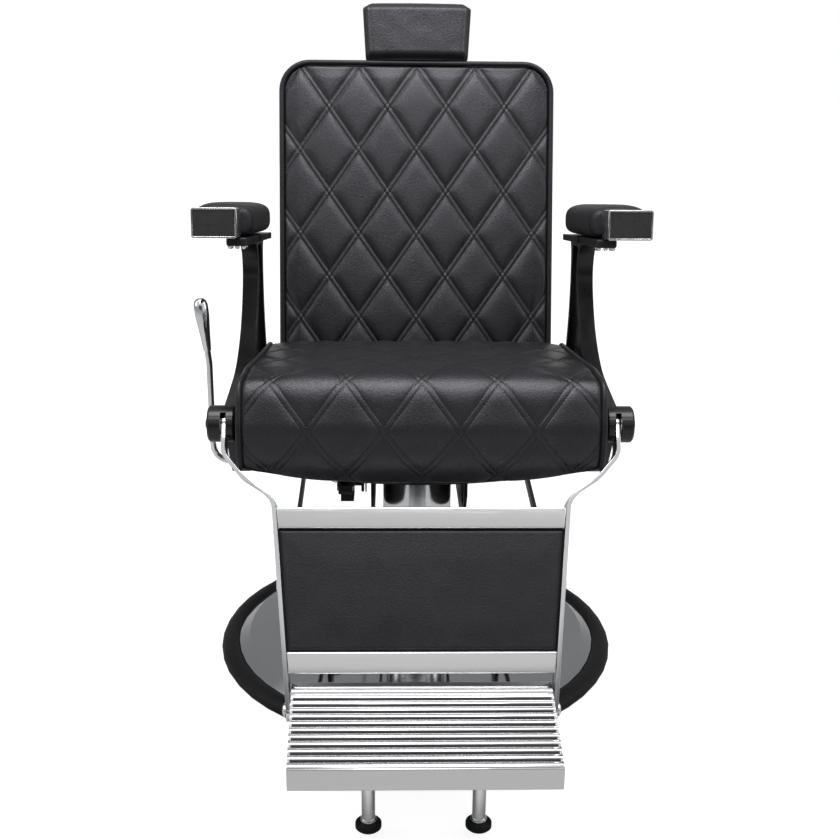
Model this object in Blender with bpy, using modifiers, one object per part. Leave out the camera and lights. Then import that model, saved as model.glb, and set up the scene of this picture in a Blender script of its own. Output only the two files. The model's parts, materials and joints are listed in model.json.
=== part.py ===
"""Hydraulic barber chair: pump base, swivel seat, reclining back, legrest, folding footplate.

Metres, +Z up.  The origin is the pump's axis on the floor.  The chair faces -Y, and +X is the
sitter's left.  Moving bodies hang on empties that stand on their joint axes.
"""
import math

import bmesh
import bpy
from mathutils import Matrix, Vector

# ---------------------------------------------------------------- driving dimensions
CLEARANCE = 0.0003            # gap between pieces that touch
PIN_CLEARANCE = 0.0003        # radial gap round a pin
PIN_RADIUS = 0.0060

# base
BASE_RADIUS = 0.345
RING_BAND = 0.0295            # rubber that shows round the cover
RING_HEIGHT = 0.0215
CASTING_INSET = 0.0270        # the rubber ring reaches this far past the casting
CASTING_RADIUS = BASE_RADIUS - CASTING_INSET
CASTING_THICKNESS = 0.0080
HUB_TOP = 0.0300
COVER_WALL = 0.0027
COVER_HOLE_RADIUS = 0.0755
COVER_HOLE_TOP = 0.0490

# pump
BARREL_RADIUS = 0.0490
BARREL_TOP = 0.300
BLOCK_RADIUS = 0.0620
BLOCK_TOP = 0.112
RAM_RADIUS = 0.0220
RAM_BOTTOM = 0.0550
SLEEVE_RADIUS = 0.0585
SLEEVE_WALL = 0.0080
SLEEVE_BOTTOM = 0.122
SLEEVE_TOP = 0.3255
HUB_PLATE_TOP = 0.3657
HUB_PLATE_RADIUS = 0.0740
SWIVEL_PLATE_RADIUS = 0.0700

# pump pedal, at the back
PEDAL_PIVOT = (0.085, 0.088)
PEDAL_EAR_INNER = 0.0140
PEDAL_EAR_WALL = 0.0060
PEDAL_ARM_WIDTH = 0.0180
PEDAL_END_Y = 0.408
PEDAL_END_Z = 0.130
TREAD_WIDTH = 0.090
TREAD_DEPTH = 0.052

# seat structure
CHANNEL_HALF_WIDTH = 0.0770
CHANNEL_WALL = 0.0050
CHANNEL_TOP = 0.3720
CHANNEL_BOTTOM = 0.2620
CHANNEL_FRONT = -0.160
CHANNEL_BACK = 0.100
FRAME_TUBE = 0.0200
FRAME_BOTTOM = CHANNEL_TOP + CLEARANCE
FRAME_TOP = FRAME_BOTTOM + FRAME_TUBE
RAIL_X = 0.175
FRAME_FRONT = -0.155
FRAME_BACK = 0.145
BOARD_THICKNESS = 0.0140
BOARD_HALF_WIDTH = 0.235
BOARD_FRONT = -0.215
BOARD_BACK = 0.148
SEAT_BOTTOM = FRAME_TOP + CLEARANCE + BOARD_THICKNESS + CLEARANCE

# seat cushion
SEAT_HALF_WIDTH = 0.2655
SEAT_DIAMOND_WIDTH = 0.1095
SEAT_DIAMOND_LENGTH = 0.150
SEAT_PUFF = 0.0060
SEAT_CROWN = 0.0060
SEAT_REAR = 0.163
SEAT_HEM = 0.3925             # the cushion's lower edge at the front middle
SEAT_FRONT_BULGE = 0.0045     # the front roll is wider than the seat between the arms
SEAT_SIDE_RISE = 0.0160       # its sides end above the board by this
SEAT_LIP = 0.0040             # its front lip hangs below its underside by at least this
SEAT_SIDE_ROUND = 0.0050      # the lower edges of its sides curve up by this
SEAT_CROSSING = 0.486         # height of a row of stitched crossings on the front roll

# side castings
SEAT_ARM_GAP = 0.0010         # between the cushion's side and the casting
ARM_INNER_X = SEAT_HALF_WIDTH + SEAT_ARM_GAP
ARM_THICKNESS = 0.0260
ARM_BOTTOM = 0.3720
ARM_RECESS_DEPTH = 0.0080
KNUCKLE = (-0.235, 0.480)     # footrest hinge axis: Y, Z
KNUCKLE_RADIUS = 0.0275
KNUCKLE_INNER_X = ARM_INNER_X + 0.0090
KNUCKLE_OUTER_X = KNUCKLE_INNER_X + 0.0410
SLOT_SIDE_GAP = 0.0010
SLOT_TOP = 0.0220             # the knuckle's slot ends this far above its axis, clear of the raised bar

# armrests, in a frame that drops to the back
ARMREST_FRONT = (-0.238, 0.7565)
ARMREST_SLOPE = math.radians(7.0)
ARMREST_LENGTH = 0.365
CAP_CENTRE_X = ARM_INNER_X + 0.0300
CAP_WIDTH = 0.0650
CAP_HEIGHT = 0.0430
CAP_DEPTH = 0.0700
CAP_WALL = 0.0025
CAP_FACE_INSET = 0.0012
CAP_FACE_THICKNESS = 0.0030
PAD_CENTRE_X = CAP_CENTRE_X - 0.0020
PAD_HALF_WIDTH = 0.0415
FLANGE_INNER_X = ARM_INNER_X - 0.0140
FLANGE_THICKNESS = 0.0100
BRACKET_THICKNESS = 0.0120

# backrest
BACK_PIVOT = (0.215, 0.425)   # recline axis: Y, Z
BACK_LEAN = math.radians(14.0)
BACK_PLATE_X = 0.1985
BACK_PLATE_THICKNESS = 0.0080
BACK_HALF_WIDTH = 0.2485
BACK_BOTTOM = 0.035           # heights along the back, from its pivot
BACK_TOP = 0.577
BACK_CORNER = 0.055
BACK_FACE = -0.040            # depth of the cushion's front edge, and of its back
BACK_REAR = 0.0100
BACK_DIAMOND_WIDTH = 0.1056
BACK_DIAMOND_LENGTH = 0.1516
BACK_CROSSING = 0.4175        # height of a row of stitched crossings that meets the middle
BACK_PUFF = 0.0055
BACK_CROWN = 0.0080
BACK_BOARD_THICKNESS = 0.0120
TRAY_DEPTH = 0.0400
TRAY_WALL = 0.0040
LEVER_PIN = (0.205, 0.262)    # rear pin of the link rods: Y, Z
CROSS_TUBE = (0.230, 0.340)
CROSS_TUBE_RADIUS = 0.0100

# headrest
HEAD_BAR_WIDTH = 0.0360
HEAD_BAR_THICKNESS = 0.0060
HEAD_BAR_DEPTH = 0.0340       # how far the bar lies behind the back's pivot plane
HEAD_BOTTOM = 0.5785
HEAD_TOP = 0.6790
HEAD_TOP_HALF_WIDTH = 0.0985
HEAD_BOTTOM_HALF_WIDTH = 0.0925
HEAD_FRONT = -0.0540
HEAD_REAR = 0.0080
HEAD_PIVOT = 0.0210           # depth of the tilt pin
HEAD_PIVOT_HEIGHT = 0.622

# legrest, measured down the leg from the knuckle
LEG_ANGLE = math.radians(29.0)
LEG_LENGTH = 0.4155
BAR_WIDTH = 0.0360
BAR_THICKNESS = 0.0060
BAR_TOP_X = KNUCKLE_INNER_X + 0.0170
BAR_WAIST_X = 0.2165
BAR_WAIST = 0.118
BAR_END_X = 0.1893
EYE_RADIUS = 0.0170
FOOT_EYE_RADIUS = 0.0160
TOP_TRIM = (0.1268, 0.1583)
BOTTOM_TRIM = (0.3345, 0.3650)
LEG_PANEL = (TOP_TRIM[1] + CLEARANCE, BOTTOM_TRIM[0] - CLEARANCE)
LINK_LUG = 0.235              # where the link rod's stud stands, down the leg
LINK_LUG_BEHIND = 0.0300
STUD_RADIUS = 0.0050
STUD_SLACK = 0.0023           # the open pivot of the closed linkage
LINK_THICKNESS = 0.0060
LINK_FRONT_X = 0.1950
LINK_REAR_X = 0.2072

# footplate
PLATE_TOP = 0.1520
PLATE_BACK = -0.418
PLATE_FRONT = -0.634
PLATE_BACK_HALF_WIDTH = 0.1862
PLATE_FRONT_HALF_WIDTH = 0.1757
PLATE_THICKNESS = 0.0100
PLATE_LIP_HEIGHT = 0.0320
RIB_COUNT = 11
RIB_PITCH = 0.0166
RIB_HEIGHT = 0.0040
RIB_WIDTH = 0.0105
FIRST_GROOVE = -0.447
FOOT_X = 0.0743
FOOT_Y = -0.562
FOOT_POST_RADIUS = 0.0090
FOOT_NUT_RADIUS = 0.0112
FOOT_PAD_RADIUS = 0.0178
FOOT_PAD_BOTTOM = 0.0130
FOOT_PAD_TOP = 0.0225

# recline lock and its release lever
LOCK_X = -0.1180
LOCK_FRONT = (-0.145, 0.345)  # front pin of the lock cylinder: Y, Z
LOCK_RADIUS = 0.0140
LOCK_ROD_RADIUS = 0.0050
LOCK_EYE_DROP = 0.0031        # the rod's eye hangs low at rest, in the middle of the tube's arc
LOCK_EYE_SLACK = 0.0036       # the open pivot of the lock's linkage
LOCK_LUG_GAP = 0.0070
LOCK_LUG_WALL = 0.0040
VALVE_BLOCK = (0.0750, 0.1180) # the valve block under the cylinder, along it from the front pin
VALVE_LEVEL = -0.0410         # the valve pin's height below the cylinder's axis
VALVE_RADIUS = 0.0040
VALVE_TIP = 0.1343            # where the pin meets the release fork
SHAFT = (0.0, 0.338)          # release shaft axis: Y, Z
SHAFT_RADIUS = 0.0052
SHAFT_CRANK = 0.0360
GRIP_X = -(ARM_INNER_X + 0.0825)
GRIP_TOP = 0.622
GRIP_LEAN = math.radians(5.8)  # the grip leans outwards

ROUND = 24                    # sides of a middle-sized round piece
SMALL_ROUND = 12
BASE_STEPS = 48


# ---------------------------------------------------------------- scene and materials
def clear_scene():
    for old in list(bpy.data.objects):
        bpy.data.objects.remove(old, do_unlink=True)


def new_collection(name):
    made = bpy.data.collections.new(name)
    bpy.context.scene.collection.children.link(made)
    return made


clear_scene()
PARTS = new_collection("barber_chair")
CUTTERS = new_collection("cutters")

FINISHES = {                  # colour, roughness, metallic
    "chrome": ((0.80, 0.80, 0.80), 0.08, 1.0),
    "polished_aluminium": ((0.72, 0.72, 0.70), 0.28, 1.0),
    "black_cast": ((0.015, 0.015, 0.016), 0.22, 0.0),
    "black_steel": ((0.02, 0.02, 0.02), 0.45, 0.0),
    "bright_steel": ((0.55, 0.55, 0.55), 0.30, 1.0),
    "cast_iron": ((0.10, 0.10, 0.10), 0.70, 0.6),
    "black_leather": ((0.018, 0.018, 0.020), 0.50, 0.0),
    "rubber": ((0.02, 0.02, 0.02), 0.80, 0.0),
    "plywood": ((0.45, 0.33, 0.20), 0.70, 0.0),
    "dark_face": ((0.06, 0.06, 0.065), 0.30, 0.8),
}
MATERIALS = {}


def material(name):
    if name not in MATERIALS:
        made = bpy.data.materials.new(name)
        made.use_nodes = True
        shader = made.node_tree.nodes["Principled BSDF"]
        colour, roughness, metallic = FINISHES[name]
        shader.inputs["Base Color"].default_value = (*colour, 1.0)
        shader.inputs["Roughness"].default_value = roughness
        shader.inputs["Metallic"].default_value = metallic
        made.diffuse_color = (*colour, 1.0)
        MATERIALS[name] = made
    return MATERIALS[name]


def add_object(name, mesh, finish):
    made = bpy.data.objects.new(name, mesh)
    PARTS.objects.link(made)
    made.data.materials.append(material(finish))
    return made


def add_bmesh(name, bm, finish, smooth=True):
    bmesh.ops.recalc_face_normals(bm, faces=bm.faces)
    mesh = bpy.data.meshes.new(name)
    bm.to_mesh(mesh)
    bm.free()
    if smooth:
        mesh.shade_smooth()
        mesh.set_sharp_from_angle(angle=math.radians(35))
    return add_object(name, mesh, finish)


def make_body(name, location, parent=None, rotation=0.0):
    """An empty on a joint's axis, which carries the pieces of one moving body."""
    empty = bpy.data.objects.new(name, None)
    PARTS.objects.link(empty)
    empty.matrix_world = Matrix.Translation(location) @ Matrix.Rotation(rotation, 4, 'X')
    bpy.context.view_layer.update()
    if parent:
        hang(parent, empty)
    return empty


def hang(parent, *children):
    bpy.context.view_layer.update()
    for child in children:
        child.parent = parent
        child.matrix_parent_inverse = parent.matrix_world.inverted()


# ---------------------------------------------------------------- modelling helpers
def arc(centre, radius, start, end, steps):
    """Points on an arc, both ends included; angles in degrees."""
    points = []
    for k in range(steps + 1):
        angle = math.radians(start + (end - start) * k / steps)
        points.append((centre[0] + radius * math.cos(angle), centre[1] + radius * math.sin(angle)))
    return points


def rounded_path(points, radius, steps=3):
    """An open path whose inner corners are rounded to about the given radius."""
    path = [Vector(points[0])]
    for before, corner, after in zip(points, points[1:], points[2:]):
        corner = Vector(corner)
        leg_in = Vector(before) - corner
        leg_out = Vector(after) - corner
        turn = math.pi - leg_in.angle(leg_out)
        cut = min(radius * math.tan(turn / 2), 0.45 * leg_in.length, 0.45 * leg_out.length)
        start = corner + leg_in.normalized() * cut
        end = corner + leg_out.normalized() * cut
        for k in range(steps + 1):
            t = k / steps
            path.append(start * (1 - t) ** 2 + corner * 2 * t * (1 - t) + end * t ** 2)
    path.append(Vector(points[-1]))
    return path


def strap(path, half_widths, round_start=True, round_end=True, steps=5):
    """Outline of a flat bar along a 2D path, with round or square ends."""
    path = [Vector(p) for p in path]
    left, right = [], []
    for k, point in enumerate(path):
        ahead = (path[min(k + 1, len(path) - 1)] - point)
        behind = (point - path[max(k - 1, 0)])
        along = (ahead.normalized() if ahead.length else Vector((0, 0)))
        along += (behind.normalized() if behind.length else Vector((0, 0)))
        along.normalize()
        normal = Vector((-along.y, along.x))
        width = half_widths[k]
        left.append(tuple(point + normal * width))
        right.append(tuple(point - normal * width))
    outline = list(left)
    if round_end:
        heading = math.degrees(math.atan2(*(path[-1] - path[-2]).yx))
        outline += arc(path[-1], half_widths[-1], heading + 90, heading - 90, steps)[1:-1]
    outline += reversed(right)
    if round_start:
        heading = math.degrees(math.atan2(*(path[0] - path[1]).yx))
        outline += arc(path[0], half_widths[0], heading + 90, heading - 90, steps)[1:-1]
    return outline


# How a flat outline (u, v) and its thickness w lie in space, for each plane.
PLANES = {
    'YZ': Matrix(((0, 0, 1, 0), (1, 0, 0, 0), (0, 1, 0, 0), (0, 0, 0, 1))),
    'XZ': Matrix(((1, 0, 0, 0), (0, 0, 1, 0), (0, 1, 0, 0), (0, 0, 0, 1))),
    'XY': Matrix.Identity(4),
}


def mesh_from_curve(curve, matrix):
    """The curve's solid as a mesh with its caps welded and its normals pointing out."""
    holder = bpy.data.objects.new("outline", curve)
    CUTTERS.objects.link(holder)
    bpy.context.view_layer.update()
    graph = bpy.context.evaluated_depsgraph_get()
    mesh = bpy.data.meshes.new_from_object(holder.evaluated_get(graph))
    bpy.data.objects.remove(holder, do_unlink=True)
    bm = bmesh.new()
    bm.from_mesh(mesh)
    bpy.data.meshes.remove(mesh)
    bmesh.ops.transform(bm, matrix=matrix, verts=bm.verts)
    bmesh.ops.remove_doubles(bm, verts=bm.verts, dist=0.00001)
    return bm


def flat_solid(outline, low, high, plane, holes=()):
    """A flat outline, thick from low to high across its plane, as a bmesh."""
    curve = bpy.data.curves.new("outline", 'CURVE')
    curve.dimensions = '2D'
    curve.fill_mode = 'BOTH'
    curve.extrude = (high - low) / 2
    for loop in (outline, *holes):
        spline = curve.splines.new('POLY')
        spline.points.add(len(loop) - 1)
        for point, place in zip(spline.points, loop):
            point.co = (place[0], place[1], 0.0, 1.0)
        spline.use_cyclic_u = True
    middle = Matrix.Translation((0, 0, (low + high) / 2))
    return mesh_from_curve(curve, PLANES[plane] @ middle)


def flat_plate(name, outline, low, high, plane, finish, holes=(), bevel=0.0):
    made = add_bmesh(name, flat_solid(outline, low, high, plane, holes), finish)
    if bevel:
        add_bevel(made, bevel)
    return made


def add_bevel(target, width, segments=1):
    bevel = target.modifiers.new("rounded edges", 'BEVEL')
    bevel.width = width
    bevel.segments = segments
    bevel.limit_method = 'ANGLE'
    bevel.angle_limit = math.radians(40)


def box(name, low, high, finish, bevel=0.0):
    bm = bmesh.new()
    bmesh.ops.create_cube(bm, size=1.0)
    size = Vector(high) - Vector(low)
    middle = (Vector(high) + Vector(low)) / 2
    bmesh.ops.transform(bm, matrix=Matrix.Translation(middle) @ Matrix.Diagonal((*size, 1)), verts=bm.verts)
    made = add_bmesh(name, bm, finish, smooth=False)
    if bevel:
        add_bevel(made, bevel)
    return made


def cylinder(name, start, end, radius, finish, sides=SMALL_ROUND, end_radius=None):
    start, end = Vector(start), Vector(end)
    bm = bmesh.new()
    bmesh.ops.create_cone(bm, cap_ends=True, segments=sides, radius1=radius,
                          radius2=radius if end_radius is None else end_radius, depth=(end - start).length)
    turn = (end - start).to_track_quat('Z', 'Y').to_matrix().to_4x4()
    bmesh.ops.transform(bm, matrix=Matrix.Translation((start + end) / 2) @ turn, verts=bm.verts)
    return add_bmesh(name, bm, finish)


def turned(name, profile, finish, steps=ROUND, closed=True, location=(0, 0, 0)):
    """A profile of (radius, height) turned about Z, running down its outer side."""
    mesh = bpy.data.meshes.new(name)
    edges = [(k, k + 1) for k in range(len(profile) - 1)]
    if closed:
        edges.append((len(profile) - 1, 0))
    mesh.from_pydata([(r, 0, z) for r, z in profile], edges, [])
    made = add_object(name, mesh, finish)
    made.location = location
    screw = made.modifiers.new("turn", 'SCREW')
    screw.steps = steps
    screw.render_steps = steps
    screw.use_merge_vertices = True
    screw.merge_threshold = 0.00001
    screw.use_smooth_shade = True
    return made


def pipe(name, points, radius, finish, bend=0.03, steps=4, resolution=4):
    """A bent rod along 3D points, as a welded mesh."""
    curve = bpy.data.curves.new(name, 'CURVE')
    curve.dimensions = '3D'
    curve.bevel_depth = radius
    curve.bevel_resolution = resolution
    curve.use_fill_caps = True
    spline = curve.splines.new('POLY')
    path = rounded_path([Vector(p) for p in points], bend, steps)
    spline.points.add(len(path) - 1)
    for point, place in zip(spline.points, path):
        point.co = (*place, 1.0)
    return add_bmesh(name, mesh_from_curve(curve, Matrix.Identity(4)), finish)


def use_tool(target, tool, operation):
    step = target.modifiers.new(operation.lower(), 'BOOLEAN')
    step.operation = operation
    step.object = tool
    if tool.name in PARTS.objects:
        PARTS.objects.unlink(tool)
        CUTTERS.objects.link(tool)
    tool.hide_render = True
    tool.display_type = 'WIRE'
    if tool.parent is None and target.parent:
        hang(target.parent, tool)


def cut(target, *tools):
    for tool in tools:
        use_tool(target, tool, 'DIFFERENCE')


def fuse(target, *tools):
    for tool in tools:
        use_tool(target, tool, 'UNION')


def pin_hole(target, centre, low_x, high_x, radius=PIN_RADIUS + PIN_CLEARANCE):
    y, z = centre
    cut(target, cylinder("pin hole", (low_x, y, z), (high_x, y, z), radius, "black_steel"))


def headed_pin(name, centre, inner_x, seat_x, side, finish, radius=PIN_RADIUS, head_radius=0.0100, head=0.0040):
    """A pin across the chair whose dished head sits outside seat_x."""
    y, z = centre
    made = turned(name, [(0, head), (head_radius * 0.6, head), (head_radius, head * 0.45), (head_radius, 0),
                         (radius, 0), (radius, inner_x - seat_x), (0, inner_x - seat_x)],
                  finish, steps=SMALL_ROUND, closed=False)
    made.matrix_world = (Matrix.Translation((side * (seat_x + CLEARANCE), y, z))
                         @ Matrix.Rotation(side * math.pi / 2, 4, 'Y'))
    return made


def loft(name, rings, finish, split=None, smooth=True):
    """A closed solid through rings of as many points each; split(i, j) picks a quad's diagonal."""
    bm = bmesh.new()
    rows = [[bm.verts.new(point) for point in ring] for ring in rings]
    count = len(rows[0])
    for i in range(len(rows) - 1):
        for j in range(count):
            a, b = rows[i][j], rows[i][(j + 1) % count]
            c, d = rows[i + 1][(j + 1) % count], rows[i + 1][j]
            choice = split(i, j) if split else 0
            if choice == 1:
                bm.faces.new((a, b, c))
                bm.faces.new((a, c, d))
            elif choice == 2:
                bm.faces.new((a, b, d))
                bm.faces.new((b, c, d))
            else:
                bm.faces.new((a, b, c, d))
    bm.faces.new(reversed(rows[0]))
    bm.faces.new(rows[-1])
    return add_bmesh(name, bm, finish, smooth)


def puff(u, v):
    """Height of a sewn diamond, 0 on its seams and 1 at its middle."""
    return math.sqrt(abs(math.sin(math.pi * u) * math.sin(math.pi * v)))


def back_frame_matrix():
    """Back coordinates: X across, Y behind the recline axis, Z up the back."""
    return Matrix.Translation((0, *BACK_PIVOT)) @ Matrix.Rotation(-BACK_LEAN, 4, 'X')


def leg_frame_matrix():
    """Leg coordinates: X across, -Y out of the panel's face, -Z down the leg from the knuckle."""
    return Matrix.Translation((0, *KNUCKLE)) @ Matrix.Rotation(-LEG_ANGLE, 4, 'X')


def armrest_matrix():
    """Armrest coordinates: Y back from the cap's front, Z up from the pad's underside."""
    return Matrix.Translation((0, *ARMREST_FRONT)) @ Matrix.Rotation(-ARMREST_SLOPE, 4, 'X')


def leg_point(down, behind=0.0):
    """World (Y, Z) of a point on the leg."""
    place = leg_frame_matrix() @ Vector((0, behind, -down))
    return place.y, place.z


def put(matrix, *targets):
    for target in targets:
        target.matrix_world = matrix @ target.matrix_world
    bpy.context.view_layer.update()


def bar_x(down):
    """Middle of a side bar across the chair, below its waist."""
    share = (down - BAR_WAIST) / (LEG_LENGTH - BAR_WAIST)
    return BAR_WAIST_X + (BAR_END_X - BAR_WAIST_X) * share


# ---------------------------------------------------------------- base and pump
def build_base():
    edge = BASE_RADIUS
    inner = edge - RING_BAND
    top = RING_HEIGHT
    casting = turned("base_casting", [
        (0, HUB_TOP), (0.078, HUB_TOP), (0.090, 0.0170), (CASTING_RADIUS - 0.0180, CASTING_THICKNESS),
        (CASTING_RADIUS, CASTING_THICKNESS), (CASTING_RADIUS, 0), (0, 0)], "cast_iron", BASE_STEPS, closed=False)
    lip = CASTING_THICKNESS + CLEARANCE
    rim = inner - CLEARANCE
    hole = COVER_HOLE_RADIUS
    outside = [(hole, COVER_HOLE_TOP), (hole + 0.0345, 0.0430), (rim - 0.1152, 0.0345), (rim - 0.0302, 0.0278),
               (rim - 0.0192, 0.0268), (rim - 0.0167, 0.0255), (rim - 0.0032, 0.0182), (rim - 0.0010, 0.0172),
               (rim, 0.0155), (rim, lip)]
    inside = [(rim - COVER_WALL, lip), (rim - COVER_WALL, 0.0150)]
    inside += [(r, z - COVER_WALL) for r, z in reversed(outside[:-3])]
    cover = turned("base_cover", outside + inside, "chrome", BASE_STEPS)
    ring = turned("base_ring", [
        (inner, top - 0.0050), (inner + 0.0050, top - 0.0012), (inner + 0.0120, top), (edge - 0.0110, top - 0.0010),
        (edge - 0.0035, top - 0.0060), (edge, top - 0.0120), (edge, 0.0050), (edge - 0.0030, 0),
        (CASTING_RADIUS + CLEARANCE, 0),
        (CASTING_RADIUS + CLEARANCE, lip), (inner, lip)], "rubber", BASE_STEPS)
    return casting, cover, ring


def build_pump():
    """Pump barrel and valve block in one body, with the pedal's ears at the back."""
    foot = HUB_TOP + CLEARANCE
    bore = RAM_RADIUS + PIN_CLEARANCE + 0.0002
    body = turned("pump_body", [
        (0, RAM_BOTTOM - 0.0030), (bore, RAM_BOTTOM - 0.0030), (bore, BARREL_TOP), (BARREL_RADIUS - 0.002, BARREL_TOP),
        (BARREL_RADIUS, BARREL_TOP - 0.002), (BARREL_RADIUS, BLOCK_TOP + 0.006), (BLOCK_RADIUS - 0.003, BLOCK_TOP),
        (BLOCK_RADIUS, BLOCK_TOP - 0.004), (BLOCK_RADIUS, 0.0470), (HUB_PLATE_RADIUS, 0.0450),
        (HUB_PLATE_RADIUS, foot), (0, foot)], "black_steel", closed=False)
    y, z = PEDAL_PIVOT
    for side in (-1, 1):
        inner = side * PEDAL_EAR_INNER
        outer = side * (PEDAL_EAR_INNER + PEDAL_EAR_WALL)
        outline = strap([(0.050, z - 0.004), (y, z)], [0.0200, 0.0130])
        ear = flat_plate("ear", outline, min(inner, outer), max(inner, outer), 'YZ', "black_steel")
        fuse(body, ear)
    pin_hole(body, PEDAL_PIVOT, -0.030, 0.030)
    span = PEDAL_EAR_INNER + PEDAL_EAR_WALL + 0.003
    pin = cylinder("pedal_pin", (-span, y, z), (span, y, z), PIN_RADIUS, "bright_steel")
    return body, pin


def build_pedal():
    y, z = PEDAL_PIVOT
    end_y, end_z = PEDAL_END_Y, PEDAL_END_Z
    path = rounded_path([(y - 0.012, z - 0.004), (y + 0.040, z + 0.004), (0.200, 0.108), (0.320, end_z - 0.008),
                         (end_y, end_z - 0.008)], 0.050)
    half = PEDAL_ARM_WIDTH / 2
    arm = flat_plate("pedal_arm", strap(path, [0.0095] * len(path)), -half, half, 'YZ', "chrome")
    rest = box("tread plate", (-TREAD_WIDTH / 2, end_y - TREAD_DEPTH, end_z - 0.001),
               (TREAD_WIDTH / 2, end_y + 0.004, end_z + 0.004), "chrome")
    fuse(arm, rest)
    pin_hole(arm, PEDAL_PIVOT, -0.020, 0.020)
    base = end_z + 0.004 + CLEARANCE
    profile = [(end_y + 0.004, base), (end_y - TREAD_DEPTH, base)]
    ridges = 5
    pitch = (TREAD_DEPTH + 0.004) / ridges
    for k in range(ridges):
        start = end_y - TREAD_DEPTH + k * pitch
        profile += [(start, base + 0.006), (start + pitch * 0.3, base + 0.009),
                    (start + pitch * 0.7, base + 0.009), (start + pitch, base + 0.006)]
    profile = [p for k, p in enumerate(profile) if k == 0 or p != profile[k - 1]]
    tread = flat_plate("pedal_tread", profile, -TREAD_WIDTH / 2 + 0.001, TREAD_WIDTH / 2 - 0.001, 'YZ', "rubber")
    return arm, tread


def build_ram():
    ram = cylinder("pump_ram", (0, 0, RAM_BOTTOM), (0, 0, 0.3553), RAM_RADIUS, "bright_steel", ROUND)
    hole = RAM_RADIUS + CLEARANCE
    inner = SLEEVE_RADIUS - SLEEVE_WALL
    sleeve = turned("pump_sleeve", [
        (hole, SLEEVE_TOP), (SLEEVE_RADIUS - 0.0025, SLEEVE_TOP), (SLEEVE_RADIUS, SLEEVE_TOP - 0.0025),
        (SLEEVE_RADIUS + 0.0005, SLEEVE_BOTTOM), (inner, SLEEVE_BOTTOM), (inner, SLEEVE_TOP - 0.006),
        (hole, SLEEVE_TOP - 0.006)], "chrome", 48)
    return ram, sleeve


# ---------------------------------------------------------------- swivel, frame and seat
def build_swivel():
    hole = RAM_RADIUS + CLEARANCE
    top = HUB_PLATE_TOP
    hub = turned("swivel_hub", [
        (0, top), (SWIVEL_PLATE_RADIUS - 0.002, top), (SWIVEL_PLATE_RADIUS, top - 0.002),
        (SWIVEL_PLATE_RADIUS, top - 0.007),
        (0.044, top - 0.013), (0.035, top - 0.021), (0.035, SLEEVE_TOP + CLEARANCE),
        (hole, SLEEVE_TOP + CLEARANCE), (hole, 0.3556), (0, 0.3556)], "cast_iron", closed=False)
    wide = CHANNEL_HALF_WIDTH
    inner = wide - CHANNEL_WALL
    web = HUB_PLATE_TOP + CLEARANCE
    outline = [(-wide, CHANNEL_BOTTOM), (-wide, CHANNEL_TOP), (wide, CHANNEL_TOP), (wide, CHANNEL_BOTTOM),
               (inner, CHANNEL_BOTTOM), (inner, web), (-inner, web), (-inner, CHANNEL_BOTTOM)]
    channel = flat_plate("mechanism_channel", outline, CHANNEL_FRONT, CHANNEL_BACK, 'XZ', "black_steel")
    for y, radius in ((-0.108, 0.020), (0.056, 0.020)):
        cut(channel, cylinder("lightening hole", (-0.1, y, 0.318), (0.1, y, 0.318), radius, "black_steel"))
    front = flat_plate("front taper", [(CHANNEL_FRONT - 0.02, 0.24), (CHANNEL_FRONT - 0.02, 0.335),
                                       (CHANNEL_FRONT, 0.335), (CHANNEL_FRONT + 0.075, 0.24)],
                       -0.1, 0.1, 'YZ', "black_steel")
    cut(channel, front)
    return hub, channel


def rectangle(half_width, near, far):
    return [(-half_width, near), (half_width, near), (half_width, far), (-half_width, far)]


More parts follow.
